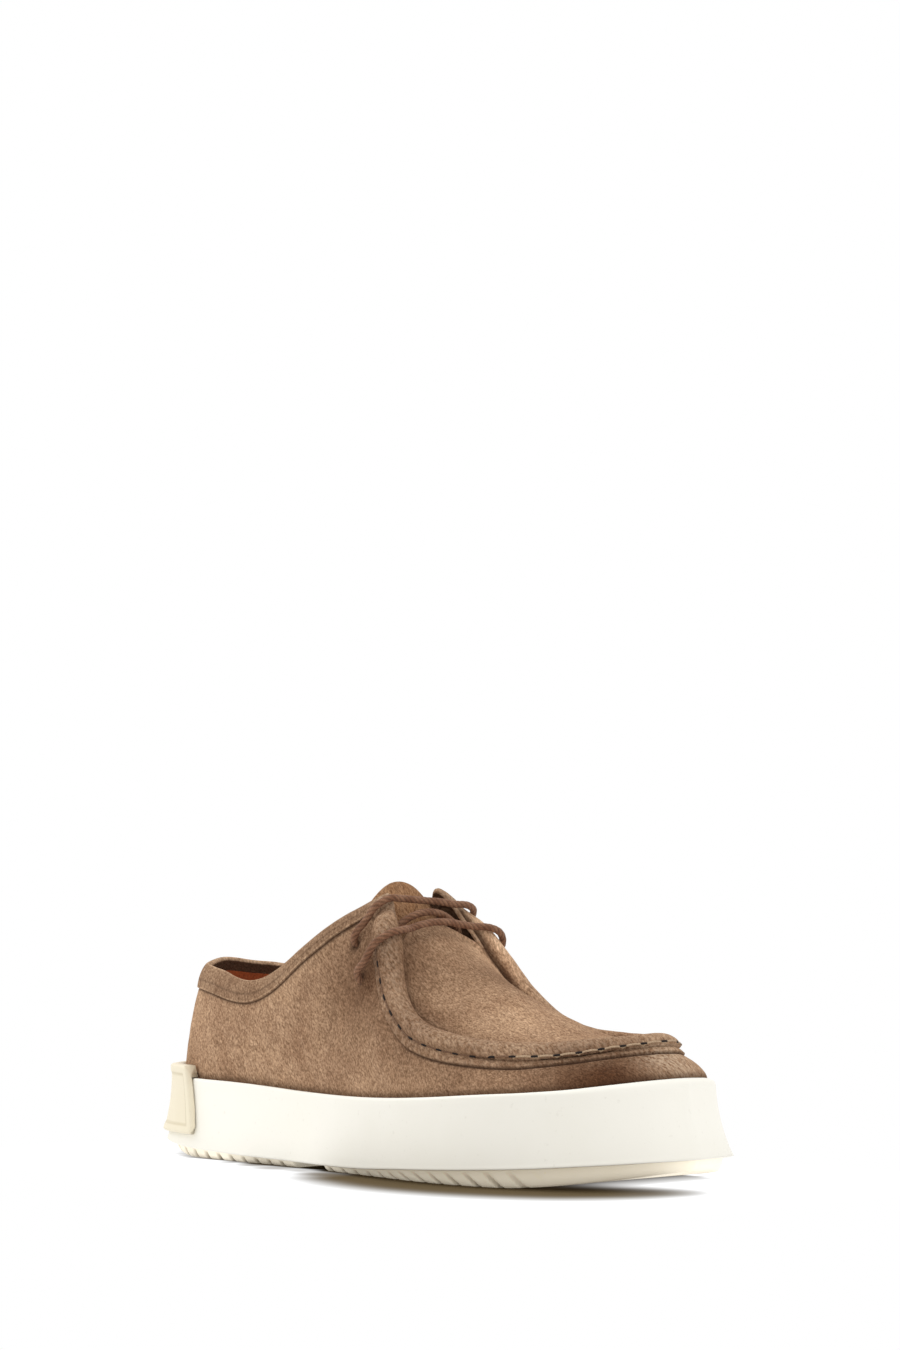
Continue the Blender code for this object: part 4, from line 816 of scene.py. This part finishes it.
def outline_ring(offset, height, columns=SOLE_RING):
    """Outline of the sole moved outwards, at a height for each column."""
    line = feather_curve(columns)
    moved = line + outward(line) * np.broadcast_to(offset, (columns,))[:, None]
    return np.c_[moved, np.broadcast_to(height, (columns,))]


def sidewall_offset(share, height):
    """How far the sidewall stands outside the feather line at a height; it is hollow in profile."""
    base = height_of(BASE_HEIGHT, share)
    up = np.clip((height - base) / (height_of(RIM_HEIGHT, share) - base), 0.0, 1.0)
    return RIM_THICKNESS + (table_value(FLARE, share) - RIM_THICKNESS) * (1 - up) ** 2.0


def build_cupsole(rubber):
    """White cup sole with a hollow sidewall, a soft rounded rim and a crisp foot."""
    share = share_of(feather_curve(SOLE_RING))
    base = height_of(BASE_HEIGHT, share)
    rim = height_of(RIM_HEIGHT, share)
    floor = height_of(FLOOR_HEIGHT, share)
    flare = table_value(FLARE, share)
    soft = 1.2 + 1.9 * np.clip((share - 0.86) / 0.14, 0.0, 1.0)
    # offset from the feather line, height, darkness: painted shade in the recess underneath and inside the cup,
    # darker towards the foot of the sidewall
    rows = [(flare - 3.4, base + RECESS, 0.9), (flare - 3.3, base + 0.2, 0.6), (flare - 3.0, base, 0.5),
            (flare - 0.6, base, 0.25), (flare - 0.15, base + 0.15, 0.15), (flare, base + 0.5, 0.1)]
    for up in np.linspace(0.04, 0.9, 22):
        height = base + (rim - base) * up
        rows.append((sidewall_offset(share, height), height, 0.12 * (1 - up) ** 3))
    for turn in np.linspace(0.0, math.pi / 2, 7):
        rows.append((RIM_THICKNESS - soft * (1 - math.cos(turn)), rim - soft * (1 - math.sin(turn)), 0.0))
    rows += [(FIT_GAP + 0.4, rim - 0.15, 0.1), (FIT_GAP, rim - 1.0, 0.5),
             (FIT_GAP, (rim + floor) / 2, 0.9), (FIT_GAP, floor, 0.9)]
    rings = [outline_ring(offset, height) for offset, height, _ in rows]
    points, faces = ring_stack(rings, SOLE_RING, 0, SOLE_RING // 2, 10)
    # the strips across the ends are painted dark too: painted shade under the sole and on the floor of the cup
    paint = np.full((len(points), 1), 0.8)
    paint[:len(rows) * SOLE_RING, 0] = np.repeat([dark for _, _, dark in rows], SOLE_RING)
    piece = mesh_piece("cupsole_rubber", points, faces, rubber, paint)
    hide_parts("cupsole")


def groove_depth(x, y, start, pitch, count, lean):
    """How deep the tread is cut at a place, by the rows of leaning bars."""
    phase = (x - lean * y - start) / pitch
    nearest = np.clip(np.round(phase), 0, count - 1)
    away = np.abs(phase - nearest) * pitch
    return np.clip((GROOVE_WIDTH / 2 * 1.1 - away) / 0.5 + 0.5, 0.0, 1.0)


# Side of a tread from below: offset from the flare, height over the underside, how far a groove
# still cuts it, darkness (painted shade, darkest next to the floor), lean of the grooves along the side
TREAD_SIDE = [(-7.6, 0.0, 1.0, 0.20, 0.0), (-6.6, 0.05, 1.0, 0.15, 0.0), (-5.9, 0.4, 1.0, 0.08, 1.0),
              (-5.3, 0.9, 1.0, 0.03, 2.0), (-4.8, 1.4, 0.9, 0.0, 3.0), (-4.5, 1.9, 0.7, 0.0, 4.0),
              (-4.2, 2.4, 0.3, 0.0, 5.0)]
# Where the notches of the side show: x, share
NOTCHES = [(-150.0, 1.0), (-60.0, 0.9), (0.0, 0.9), (20.0, 0.5), (40.0, 0.75), (95.0, 0.75),
           (112.0, 0.0), (150.0, 0.0)]
# Full height of the side rows, least height of a tread, strips across its faces
SIDE_HEIGHT = 2.9
LEAST_TREAD = 2.6
TREAD_STRIPS = 56


def build_tread(name, node, back, front, grooves, rubber):
    """Tread pad with rows of grooves that also notch its side."""
    line = feather_curve(TREAD_RING)
    half = TREAD_RING // 2
    first, last = (int(np.abs(line[:half + 1, 0] - x * SCALE_X).argmin()) for x in (back, front))
    share = share_of(line)
    base = height_of(BASE_HEIGHT, share)
    under = height_of(TREAD_HEIGHT, share)
    flare = table_value(FLARE, share)
    room = np.maximum(base - FIT_GAP, under + LEAST_TREAD) - under
    shown = np.interp(line[:, 0], *zip(*NOTCHES))
    ribbed = np.clip((line[:, 0] - 20.0) / 20.0, 0.0, 1.0)
    rings, shade = [], []
    for offset, height, sunk, dark, shear in TREAD_SIDE:
        cut = groove_depth(line[:, 0] + shear * ribbed, line[:, 1], *grooves) * GROOVE_DEPTH * shown * sunk
        level = under + height * room / SIDE_HEIGHT + cut * 0.6 * np.exp(-height)
        rings.append(outline_ring(flare + offset - 0.6 * cut, level, TREAD_RING))
        # grooves are painted darker: painted shade
        shade.append(dark + 0.75 * cut / GROOVE_DEPTH)
    # the top of the pad, inside the recess, gets painted shade
    for level, dark in ((under + room, 0.0), (base + RECESS - FIT_GAP, 0.6)):
        rings.append(outline_ring(flare - TREAD_INSET, level, TREAD_RING))
        shade.append(np.full(TREAD_RING, dark))
    points, faces = ring_stack(rings, TREAD_RING, first, last, TREAD_STRIPS)
    ids = ring_loop(TREAD_RING, first, last)
    paint = np.zeros((len(points), 1))
    paint[:len(rings) * len(ids), 0] = np.array(shade)[:, ids].reshape(-1)
    flat = np.interp(points[:, 0], line[:half, 0], under[:half])
    lowest = (np.arange(len(points)) >= len(rings) * len(ids)) & (points[:, 2] < flat + 2.0)
    deep = groove_depth(points[:, 0], points[:, 1], *grooves)
    points[lowest, 2] = (flat + deep * GROOVE_DEPTH)[lowest]
    # the underside is darker, with painted shade in its grooves
    paint[lowest, 0] = 0.3 + 0.5 * deep[lowest]
    piece = mesh_piece(name, points, faces, rubber, paint)
    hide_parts(node)


def build_insole(footbed):
    """Covered footbed with a soft rolled edge."""
    floor = height_of(FLOOR_HEIGHT, share_of(feather_curve(INSOLE_RING))) + FIT_GAP
    inset = -(UPPER_WALL + FIT_GAP + INSOLE_SIDE_GAP)
    profile = [(0.0, 0.0), (0.0, 1.6), (-0.3, 2.2), (-1.0, INSOLE_THICKNESS)]
    rings = [outline_ring(inset + inward, floor + height, INSOLE_RING) for inward, height in profile]
    points, faces = ring_stack(rings, INSOLE_RING, 0, INSOLE_RING // 2, 24)
    piece = mesh_piece("insole_cover", points, faces, footbed)
    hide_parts("insole")


# Heel tab: radius of its corners, width of its border, softness of its outer edge and of the
# step to its field, share of that step that shows, rows of its back in shares of its height
TAB_CORNER = 3.2
TAB_BAND = 3.6
TAB_ROUND = 0.9
TAB_STEP = 0.28
TAB_STEP_SHOWN = 0.5
TAB_BACK = [0.0, 0.35, 0.7, 0.82, 0.84, 1.0]


def build_heel_tab(rubber):
    """Moulded tab round the heel: soft raised border, plain recessed field, lip over the rim."""
    fine = feather_curve(FINE_RING)
    side = outward(fine)
    half_turn = run_of(fine)[FINE_RING // 2]
    heel = np.array([0.0])
    low_z = height_of(BASE_HEIGHT, heel)[0] + TAB_ABOVE_BASE * SCALE_Z
    top_z = height_of(RIM_HEIGHT, heel)[0] + TAB_ABOVE_RIM * SCALE_Z
    tall = top_z - low_z
    across = np.r_[-1, -0.997, -0.99, -0.98, np.linspace(-0.965, 0.965, 150), 0.98, 0.99, 0.997, 1]
    levels = np.r_[0.0, 0.01, 0.03, 0.055, np.linspace(0.085, 0.915, 40), 0.945, 0.97, 0.99, 1.0]

    def half_run(v):
        return (TAB_LOW_REACH + (TAB_TOP_REACH - TAB_LOW_REACH) * v) * half_turn

    def row_at(place):
        steps = place / half_turn * (FINE_RING / 2)
        at = np.round(steps % FINE_RING).astype(int) % FINE_RING
        return fine[at], side[at], share_of(fine[at])

    rows, paint = [], []
    for v in levels:
        down = min(v, 1 - v) * tall
        sag = max(0.0, TAB_CORNER - down)
        pull = TAB_CORNER - math.sqrt(max(0.0, TAB_CORNER**2 - sag**2))
        place = across * (half_run(v) - pull)
        plan, away, share = row_at(place)
        height = np.full(len(across), low_z + tall * v)
        hold = sidewall_offset(share, np.minimum(height, height_of(RIM_HEIGHT, share))) + TAB_GAP
        inward = np.minimum(down, half_run(v) - pull - np.abs(place) + pull * 0.3)
        rounded = np.sqrt(np.maximum(0.0, 1 - (1 - np.minimum(1.0, inward / TAB_ROUND)) ** 2))
        field = 1 / (1 + np.exp(-(inward - TAB_BAND) / TAB_STEP))
        thick = TAB_BORDER - TAB_STEP_SHOWN * (TAB_BORDER - TAB_FIELD) * field
        rows.append(np.c_[plan + away * (hold + thick * (0.15 + 0.85 * rounded))[:, None], height])
        # painted shade along the step down to the recessed field
        paint.append(np.c_[0.5 * np.exp(-((inward - TAB_BAND - 0.4) / 0.5) ** 2), 0.35 * (1 - field)])
    for v in TAB_BACK:
        pull = TAB_CORNER / 2 if v in (0.0, 1.0) else 0.0
        plan, away, share = row_at(across * (half_run(v) - pull))
        rim = height_of(RIM_HEIGHT, share)
        height = np.minimum(low_z + tall * v, rim + FIT_GAP) if v < 0.8 else rim + FIT_GAP
        if v == 1.0:
            height = np.full(len(across), top_z)
        hold = sidewall_offset(share, np.minimum(height, rim)) + TAB_GAP
        if v > 0.83:
            hold = np.full(len(across), TAB_LIP_GAP)
        rows.append(np.c_[plan + away * hold[:, None], height])
        paint.append(np.zeros((len(across), 2)))
    count, front = len(across), len(levels)
    index = np.arange(len(rows) * count).reshape(len(rows), count)
    faces = sheet_faces(front, count)
    for low, high in zip(index[front:-1], index[front + 1:]):
        faces += strip(low, high)
    faces += strip(index[0], index[front]) + strip(index[-1], index[front - 1])
    ends = [tuple(np.r_[index[:front, k], index[:front - 1:-1, k]]) for k in (0, -1)]
    faces += [ends[0], ends[1][::-1]]
    piece = mesh_piece("heel_tab_rubber", np.vstack(rows), faces, rubber, np.vstack(paint))
    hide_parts("heel_tab")


def joined(parts):
    """One list of points and one of faces from several pairs."""
    faces, total = [], 0
    for points, corners in parts:
        faces += [tuple(index + total for index in face) for face in corners]
        total += len(points)
    return np.vstack([points for points, _ in parts]), faces


def build_stitches(seam_line, seam_normal, run, start, roll, thread, thread_light, hole_shade):
    """Thread that dips into a hole at each stitch of the moccasin seam, and a dark tube in each hole as painted
    shade.
    """
    def spot(at):
        place, away = (np.array([np.interp(at, run, line[:, m]) for m in range(3)])
                       for line in (seam_line, seam_normal))
        return place, away / np.linalg.norm(away)

    end = run[np.where(roll > 1.0)[0][-1]]
    positions = np.arange(start + STITCH_FIRST, end - 8.0, STITCH_PITCH)
    near, toe, hole_shades = [], [], []
    for k, here in enumerate(positions):
        place, away = spot(here)
        on_toe = place[0] > TOE_THREAD_FROM
        if k + 1 < len(positions):
            line = []
            for s in np.linspace(0, 1, 15):
                p, n = spot(here + (positions[k + 1] - here) * s)
                line.append(p + n * (-0.9 + 1.25 * math.sin(math.pi * s) ** 0.35))
            (toe if on_toe else near).append(tube_rings(np.array(line), THREAD_RADIUS, 8, away))
        (a, na), (b, nb) = spot(here - HOLE_HALF_LENGTH), spot(here + HOLE_HALF_LENGTH)
        line = [a + na * 0.1, a * 0.6 + b * 0.4 + away * 0.3, b * 0.6 + a * 0.4 + away * 0.3,
                b + nb * 0.1]
        # a near-black tube in each hole: painted shade
        hole_shades.append(tube_rings(even_line(line, 0.3)[0], 0.45 if on_toe else 0.62, 8, away))
    for name, parts, material in (("seam_thread_near", near, thread),
                                  ("seam_thread_toe", toe, thread_light),
                                  ("seam_needle_hole_shades", hole_shades, hole_shade)):
        piece = mesh_piece(name, *joined(parts), material)


def add(tree, kind, inputs=None, **settings):
    """New shader node with its settings and inputs."""
    made = tree.nodes.new(kind)
    for key, value in settings.items():
        setattr(made, key, value)
    for key, value in (inputs or {}).items():
        if isinstance(value, bpy.types.NodeSocket):
            tree.links.new(value, made.inputs[key])
        else:
            made.inputs[key].default_value = value
    return made


def mix(tree, factor, first, second, blend="MIX"):
    """Mix of two colours."""
    made = add(tree, "ShaderNodeMix", data_type="RGBA", blend_type=blend, clamp_factor=True)
    for index, value in ((0, factor), (6, first), (7, second)):
        if isinstance(value, bpy.types.NodeSocket):
            tree.links.new(value, made.inputs[index])
        else:
            made.inputs[index].default_value = value
    return made.outputs[2]


def tinted(tree, colour, value, low, high):
    """Colour times a tint that goes from low to high with a value."""
    return mix(tree, 1.0, colour, mix(tree, value, (*low, 1.0), (*high, 1.0)), "MULTIPLY")


def combined(tree, first, second, operation="MULTIPLY"):
    """Product or sum of two values."""
    return add(tree, "ShaderNodeMath", {0: first, 1: second}, operation=operation).outputs[0]


def place(tree, turn=(0.0, 0.0, 0.0), stretch=(1.0, 1.0, 1.0)):
    """Object coordinates, turned and stretched."""
    where = add(tree, "ShaderNodeTexCoord").outputs["Object"]
    turned = add(tree, "ShaderNodeMapping", {"Vector": where, "Rotation": turn}).outputs["Vector"]
    return add(tree, "ShaderNodeMapping", {"Vector": turned, "Scale": stretch}).outputs["Vector"]


def noise_value(tree, where, size, detail=2.0, rough=0.5, distortion=0.0):
    """Noise with features of a size in millimetres."""
    made = add(tree, "ShaderNodeTexNoise", {"Vector": where, "Scale": 1000.0 / size, "Detail": detail,
                                            "Roughness": rough, "Distortion": distortion})
    return made.outputs["Fac"]


def grain(tree, where, size, low, high, *details):
    """Noise spread from nothing at low to one at high."""
    value = noise_value(tree, where, size, *details)
    made = add(tree, "ShaderNodeMapRange", {"Value": value, "From Min": low, "From Max": high})
    return made.outputs["Result"]


def painted(tree):
    """The painted values of a piece: darkness, much of it painted shade; lightness; and tone, on the suede
    painted light and shade with some turned nap.
    """
    layer = add(tree, "ShaderNodeAttribute", attribute_name="paint", attribute_type="GEOMETRY")
    parts = add(tree, "ShaderNodeSeparateColor", {"Color": layer.outputs["Color"]})
    return parts.outputs["Red"], parts.outputs["Green"], parts.outputs["Blue"]


def rgb(red, green, blue):
    """Linear colour from screen values of 0 to 255."""
    levels = [v / 255.0 for v in (red, green, blue)]
    linear = [v / 12.92 if v <= 0.04045 else ((v + 0.055) / 1.055) ** 2.4 for v in levels]
    return (*linear, 1.0)


def new_material(name, roughness, **constants):
    """Principled material with its constants set on the shader's own sockets."""
    material = bpy.data.materials.new(name)
    material.use_nodes = True
    tree = material.node_tree
    shader = tree.nodes["Principled BSDF"]
    shader.inputs["Roughness"].default_value = roughness
    for key, value in constants.items():
        shader.inputs[key.replace("_", " ")].default_value = value
    return material, tree, shader


def finish(tree, shader, colour, height, strength, distance=0.0002):
    """Give the shader its colour and the bump of its grain."""
    tree.links.new(colour, shader.inputs["Base Color"])
    bump = add(tree, "ShaderNodeBump", {"Height": height, "Strength": strength, "Distance": distance})
    tree.links.new(bump.outputs["Normal"], shader.inputs["Normal"])


def suede_material(name, low, middle, high, dark, light):
    """Brushed suede: patches of turned nap, leaning grain, short fibres."""
    material, tree, shader = new_material(name, 0.95, Sheen_Weight=0.10, Sheen_Roughness=0.5,
                                          Sheen_Tint=high, Specular_IOR_Level=0.06)
    lean = place(tree, (0.0, math.radians(42), math.radians(8)), (1.0, 1.0, 0.5))
    patch = grain(tree, place(tree), 34.0, 0.36, 0.64, 2.5, 0.55, 0.6)
    smear = grain(tree, lean, 7.0, 0.35, 0.65, 3.0, 0.6, 0.8)
    nap = grain(tree, lean, 1.3, 0.36, 0.64, 2.0, 0.6)
    fibre = grain(tree, lean, 0.7, 0.34, 0.66, 2.0, 0.6)
    colour = mix(tree, combined(tree, smear, 0.35), mix(tree, patch, low, middle), high)
    colour = tinted(tree, colour, nap, (0.84, 0.81, 0.79), (1.16, 1.17, 1.18))
    colour = tinted(tree, colour, fibre, (0.62, 0.58, 0.55), (1.34, 1.35, 1.36))
    darkness, lightness, tone = painted(tree)
    # tone brings in painted light and shade: a darker toe and near side, a lighter far roll and crest
    colour = tinted(tree, colour, tone, (0.16, 0.07, 0.02), (1.84, 1.93, 1.98))
    colour = mix(tree, combined(tree, lightness, nap), colour, light)
    # darkness is mostly painted shade, at cut edges, the inner edge of the roll, the eyelets and inside the
    # shoe, besides darker seams and binding
    colour = mix(tree, darkness, colour, dark)
    finish(tree, shader, colour, combined(tree, nap, fibre, "ADD"), 0.5, 0.00035)
    return material


def rubber_material(name, plain_colour, stained, dark, roughness, glow=0.0):
    """Moulded rubber with a faint skin, handling marks, and painted shade in its corners and recesses."""
    material, tree, shader = new_material(name, roughness, Specular_IOR_Level=0.4, Emission_Strength=glow)
    where = place(tree)
    cloud = grain(tree, where, 26.0, 0.42, 0.75, 3.0, 0.55)
    speck = grain(tree, where, 2.2, 0.66, 0.78)
    colour = mix(tree, combined(tree, cloud, 0.5), plain_colour, stained)
    colour = mix(tree, combined(tree, speck, 0.12), colour, dark)
    # the painted darkness is painted shade
    colour = mix(tree, painted(tree)[0], colour, dark)
    # with glow above nothing the rubber shines in its own colour: painted light
    tree.links.new(colour, shader.inputs["Emission Color"])
    finish(tree, shader, colour, noise_value(tree, where, 0.7, 3.0, 0.6), 0.12)
    return material


def cord_material_of(name, colour_a, colour_b, dark):
    """Waxed twisted cord: fibres along the strands, painted shade between them."""
    material, tree, shader = new_material(name, 0.72, Sheen_Weight=0.03, Sheen_Roughness=0.5,
                                          Specular_IOR_Level=0.2)
    where = place(tree)
    fibre = grain(tree, where, 0.5, 0.35, 0.65, 3.0, 0.65)
    patch = grain(tree, where, 5.0, 0.4, 0.6)
    colour = mix(tree, patch, colour_a, colour_b)
    colour = tinted(tree, colour, fibre, (0.75, 0.72, 0.70), (1.25, 1.25, 1.25))
    colour = mix(tree, combined(tree, painted(tree)[0], 0.8), colour, dark)
    finish(tree, shader, colour, fibre, 0.5)
    return material


def lining_material(name, colour_a, colour_b):
    """Orange-brown lining leather with a fine grain."""
    material, tree, shader = new_material(name, 0.7, Specular_IOR_Level=0.25)
    where = place(tree)
    patch = grain(tree, where, 18.0, 0.35, 0.65, 3.0)
    pores = grain(tree, where, 0.9, 0.3, 0.7, 3.0, 0.6)
    colour = mix(tree, patch, colour_a, colour_b)
    colour = tinted(tree, colour, pores, (0.8, 0.78, 0.76), (1.15, 1.15, 1.15))
    finish(tree, shader, colour, pores, 0.4)
    return material


def thread_material(name, colour, deep):
    """Sewing thread with a twist."""
    material, tree, shader = new_material(name, 0.75, Specular_IOR_Level=0.3)
    twist = grain(tree, place(tree, (0.6, 0.4, 0.2), (1.0, 1.0, 3.0)), 0.5, 0.35, 0.65)
    finish(tree, shader, mix(tree, twist, deep, colour), twist, 0.4)
    return material


# Camera: turned round the shoe, distance, height, upward tilt, shift along its own right
CAMERA_TURN = math.radians(46.0)
CAMERA_DISTANCE = 1.5
CAMERA_HEIGHT = 0.1210
CAMERA_TILT = math.radians(3.373)
CAMERA_SIDE = 0.0111
CAMERA_LENS = 93.63
SENSOR = (24.0, 36.0)


def build_camera():
    """Camera at the photograph's angle."""
    data = bpy.data.cameras.new("camera")
    data.sensor_fit = "VERTICAL"
    data.sensor_width, data.sensor_height = SENSOR
    data.lens = CAMERA_LENS
    data.clip_start = 0.01
    camera = bpy.data.objects.new("camera", data)
    bpy.context.scene.collection.objects.link(camera)
    sine, cosine = math.sin(CAMERA_TURN), math.cos(CAMERA_TURN)
    spot = np.array([sine, -cosine, 0.0]) * CAMERA_DISTANCE
    spot = spot + np.array([cosine, sine, 0.0]) * CAMERA_SIDE + np.array([0, 0, CAMERA_HEIGHT])
    camera.location = tuple(spot - SHIFT * MM)
    level = math.cos(CAMERA_TILT)
    ahead = Vector((-sine * level, cosine * level, math.sin(CAMERA_TILT)))
    camera.rotation_euler = ahead.to_track_quat("-Z", "Y").to_euler()
    bpy.context.scene.camera = camera


# Lamps: name, place, what they look at, size, power, colour
LAMP_AIM = (0.0, 0.0, 0.05)
LAMPS = [("lamp_key", (-1.0, -0.35, 0.95), 0.7, 4.1, (1.0, 0.98, 0.95)),
         ("lamp_top", (0.0, 0.1, 1.5), 0.8, 4.0, (1.0, 1.0, 1.0))]
# Strength of the surroundings towards the camera, against one behind the shoe
WORLD_FRONT = 0.92
# Floor, and the fine patch of it that takes the shadow: its corners and its step
FLOOR_SIZE = 12.0
FLOOR_DROP = 0.0003
PATCH_LOW = (-0.215, -0.13)
PATCH_HIGH = (0.225, 0.13)
PATCH_STEP = 0.004
# Soft shadow on the floor, millimetres of the tables: x, y, reach, strength
SHADOW_SPOTS = [
    (-24.0, -46.0, 8.0, 0.4), (-4.0, -51.0, 12.0, 0.8), (17.0, -56.0, 21.0, 1.0),
    (38.0, -59.0, 26.0, 1.0), (60.0, -60.0, 29.0, 1.0), (83.0, -57.0, 32.0, 1.0),
    (106.0, -50.0, 34.0, 1.0), (127.0, -40.0, 32.0, 1.0), (143.0, -27.0, 23.0, 0.8),
    (154.0, -16.0, 14.0, 0.4), (-78.0, -38.0, 6.0, 0.5), (-60.0, -41.0, 8.0, 0.65),
    (-42.0, -45.0, 10.0, 0.5),
]
# Under the toe and the heel the floor is lit again: where the shade starts and ends, along x
TOE_LIGHT = (98.0, 126.0)
HEEL_LIGHT = (-95.0, -135.0)
HEEL_GLOW = 0.8
SHADOW_COLOUR = (0.125, 0.092, 0.05, 1.0)
# What the bare floor near the shoe glows beyond white, to light the sole
GLOW_GAIN = 0.2
BLACK = (0.0, 0.0, 0.0, 1.0)
WHITE = (1.0, 1.0, 1.0, 1.0)


def way_through(values, ends):
    """Share of the way of each value between two ends."""
    return np.clip((values - ends[0]) / (ends[1] - ends[0]), 0.0, 1.0)


def shadow_mask(grid, border):
    """Glow of the floor at each place of the patch; nothing is full shade."""
    ring = outline_ring(table_value(FLARE, share_of(feather_curve(240))) - TREAD_INSET, 0.0, 240)[:, 0:2]
    spots = grid / MM + SHIFT[0:2]
    nearest = np.linalg.norm(spots[:, None] - ring[None], axis=2).argmin(axis=1)
    outside = ((spots - ring[nearest]) * outward(ring)[nearest]).sum(axis=1) > 0
    ends = np.maximum(way_through(spots[:, 0], TOE_LIGHT),
                      HEEL_GLOW * way_through(spots[:, 0], HEEL_LIGHT))
    glow = np.where(outside, 1.0, ends)
    for x, y, reach, strength in SHADOW_SPOTS:
        away = np.hypot(spots[:, 0] - x, spots[:, 1] - y)
        glow *= 1 - strength * np.exp(-(away / reach) ** 4)
    return np.where(border, 1.0, glow + GLOW_GAIN * way_through(glow, (0.8, 1.0)))


def build_floor():
    """Glowing white floor, with a fine patch under the shoe that keeps the contact shadow."""
    material, tree, shader = new_material("floor_white", 1.0, Specular_IOR_Level=0.0, Emission_Color=WHITE)
    glow = painted(tree)[0]
    tree.links.new(mix(tree, glow, SHADOW_COLOUR, BLACK), shader.inputs["Base Color"])
    tree.links.new(glow, shader.inputs["Emission Strength"])
    xs, ys = (np.arange(low, high + PATCH_STEP, PATCH_STEP) for low, high in zip(PATCH_LOW, PATCH_HIGH))
    grid = np.stack(np.meshgrid(xs, ys, indexing="ij"), axis=2).reshape(-1, 2)
    border = np.isin(grid[:, 0], (xs[0], xs[-1])) | np.isin(grid[:, 1], (ys[0], ys[-1]))
    mesh = bpy.data.meshes.new("studio_patch")
    faces = [tuple(reversed(face)) for face in sheet_faces(len(xs), len(ys))]
    mesh.from_pydata([(*p, 0.0) for p in grid], [], faces)
    mesh.materials.append(material)
    values = np.zeros((len(grid), 4), dtype=np.float32)
    values[:, 0] = shadow_mask(grid, border)
    mesh.color_attributes.new("paint", "FLOAT_COLOR", "POINT").data.foreach_set("color", values.reshape(-1))
    patch = bpy.data.objects.new("studio_patch", mesh)
    bpy.context.scene.collection.objects.link(patch)
    bpy.ops.mesh.primitive_plane_add(size=FLOOR_SIZE, location=(0.0, 0.0, -FLOOR_DROP))
    floor = bpy.context.active_object
    floor.name = "studio_floor"
    plain, _, _ = new_material("floor_glow", 1.0, Specular_IOR_Level=0.0, Base_Color=BLACK,
                               Emission_Color=WHITE, Emission_Strength=1.0)
    floor.data.materials.append(plain)


def build_studio():
    """White floor, white surroundings, a key lamp behind the heel and a soft top lamp."""
    build_floor()
    world = bpy.data.worlds.new("studio_world")
    bpy.context.scene.world = world
    world.use_nodes = True
    tree = world.node_tree
    background = tree.nodes["Background"]
    direction = add(tree, "ShaderNodeTexCoord").outputs["Generated"]
    ahead = (-math.sin(CAMERA_TURN), math.cos(CAMERA_TURN), 0.0)
    facing = add(tree, "ShaderNodeVectorMath", {0: direction, 1: ahead}, operation="DOT_PRODUCT")
    strength = add(tree, "ShaderNodeMapRange", {"Value": facing.outputs["Value"], "From Min": -0.6,
                                                "From Max": 0.7, "To Min": WORLD_FRONT, "To Max": 1.0})
    tree.links.new(strength.outputs["Result"], background.inputs["Strength"])
    background.inputs["Color"].default_value = WHITE
    for name, spot, size, power, colour in LAMPS:
        data = bpy.data.lights.new(name, "AREA")
        data.shape, data.size, data.energy, data.color = "SQUARE", size, power, colour
        lamp = bpy.data.objects.new(name, data)
        bpy.context.scene.collection.objects.link(lamp)
        lamp.location = spot
        lamp.rotation_euler = (Vector(LAMP_AIM) - Vector(spot)).to_track_quat("-Z", "Y").to_euler()
    bpy.context.scene.view_settings.view_transform = "Standard"
    bpy.context.scene.view_settings.look = "None"


def main():
    tan_middle, tan_high = rgb(172, 140, 111), rgb(189, 158, 129)
    tan_shade_and_seams, tan_light = rgb(62, 42, 31), rgb(212, 188, 162)
    suede = suede_material("suede_nap", rgb(149, 117, 91), tan_middle, tan_high, tan_shade_and_seams, tan_light)
    tongue_suede = suede_material("tongue_nap", rgb(150, 111, 78), rgb(168, 127, 92), tan_middle,
                                  tan_shade_and_seams, tan_light)
    white = rubber_material("sole_rubber", rgb(249, 246, 236), rgb(245, 242, 230), rgb(176, 168, 148), 0.6)
    cream = rubber_material("tab_rubber", rgb(234, 224, 199), rgb(228, 217, 191), rgb(178, 162, 124), 0.5)
    # the tread rubber glows at 0.22: painted light that brightens the treads
    tread = rubber_material("tread_rubber_painted_glow", rgb(248, 239, 219), rgb(240, 230, 207),
                            rgb(136, 120, 92), 0.65, glow=0.22)
    footbed = lining_material("footbed_leather", rgb(176, 98, 56), rgb(196, 112, 66))
    lining = lining_material("lining_leather", rgb(176, 94, 54), rgb(194, 108, 64))
    cord = cord_material_of("lace_wax", rgb(130, 91, 67), rgb(152, 113, 87), rgb(52, 35, 25))
    thread = thread_material("thread_tan", rgb(140, 106, 80), rgb(100, 74, 56))
    thread_light = thread_material("thread_pale", rgb(204, 178, 148), rgb(160, 132, 104))
    # near-black thread for the needle holes: painted shade
    hole_shade = thread_material("needle_hole_shade", rgb(38, 27, 22), rgb(28, 20, 16))

    build_camera()
    build_studio()
    seam = build_upper_skin(suede, lining)
    build_stitches(*seam, thread, thread_light, hole_shade)
    build_tongue(tongue_suede)
    build_lace(cord)
    build_cupsole(white)
    build_heel_tab(cream)
    build_insole(footbed)
    build_tread("tread_heel_pad", "tread_heel", -150.0, HEEL_PAD_END, HEEL_GROOVES, tread)
    build_tread("tread_forefoot_pad", "tread_forefoot", FORE_PAD_START, 150.0, FORE_GROOVES, tread)


main()
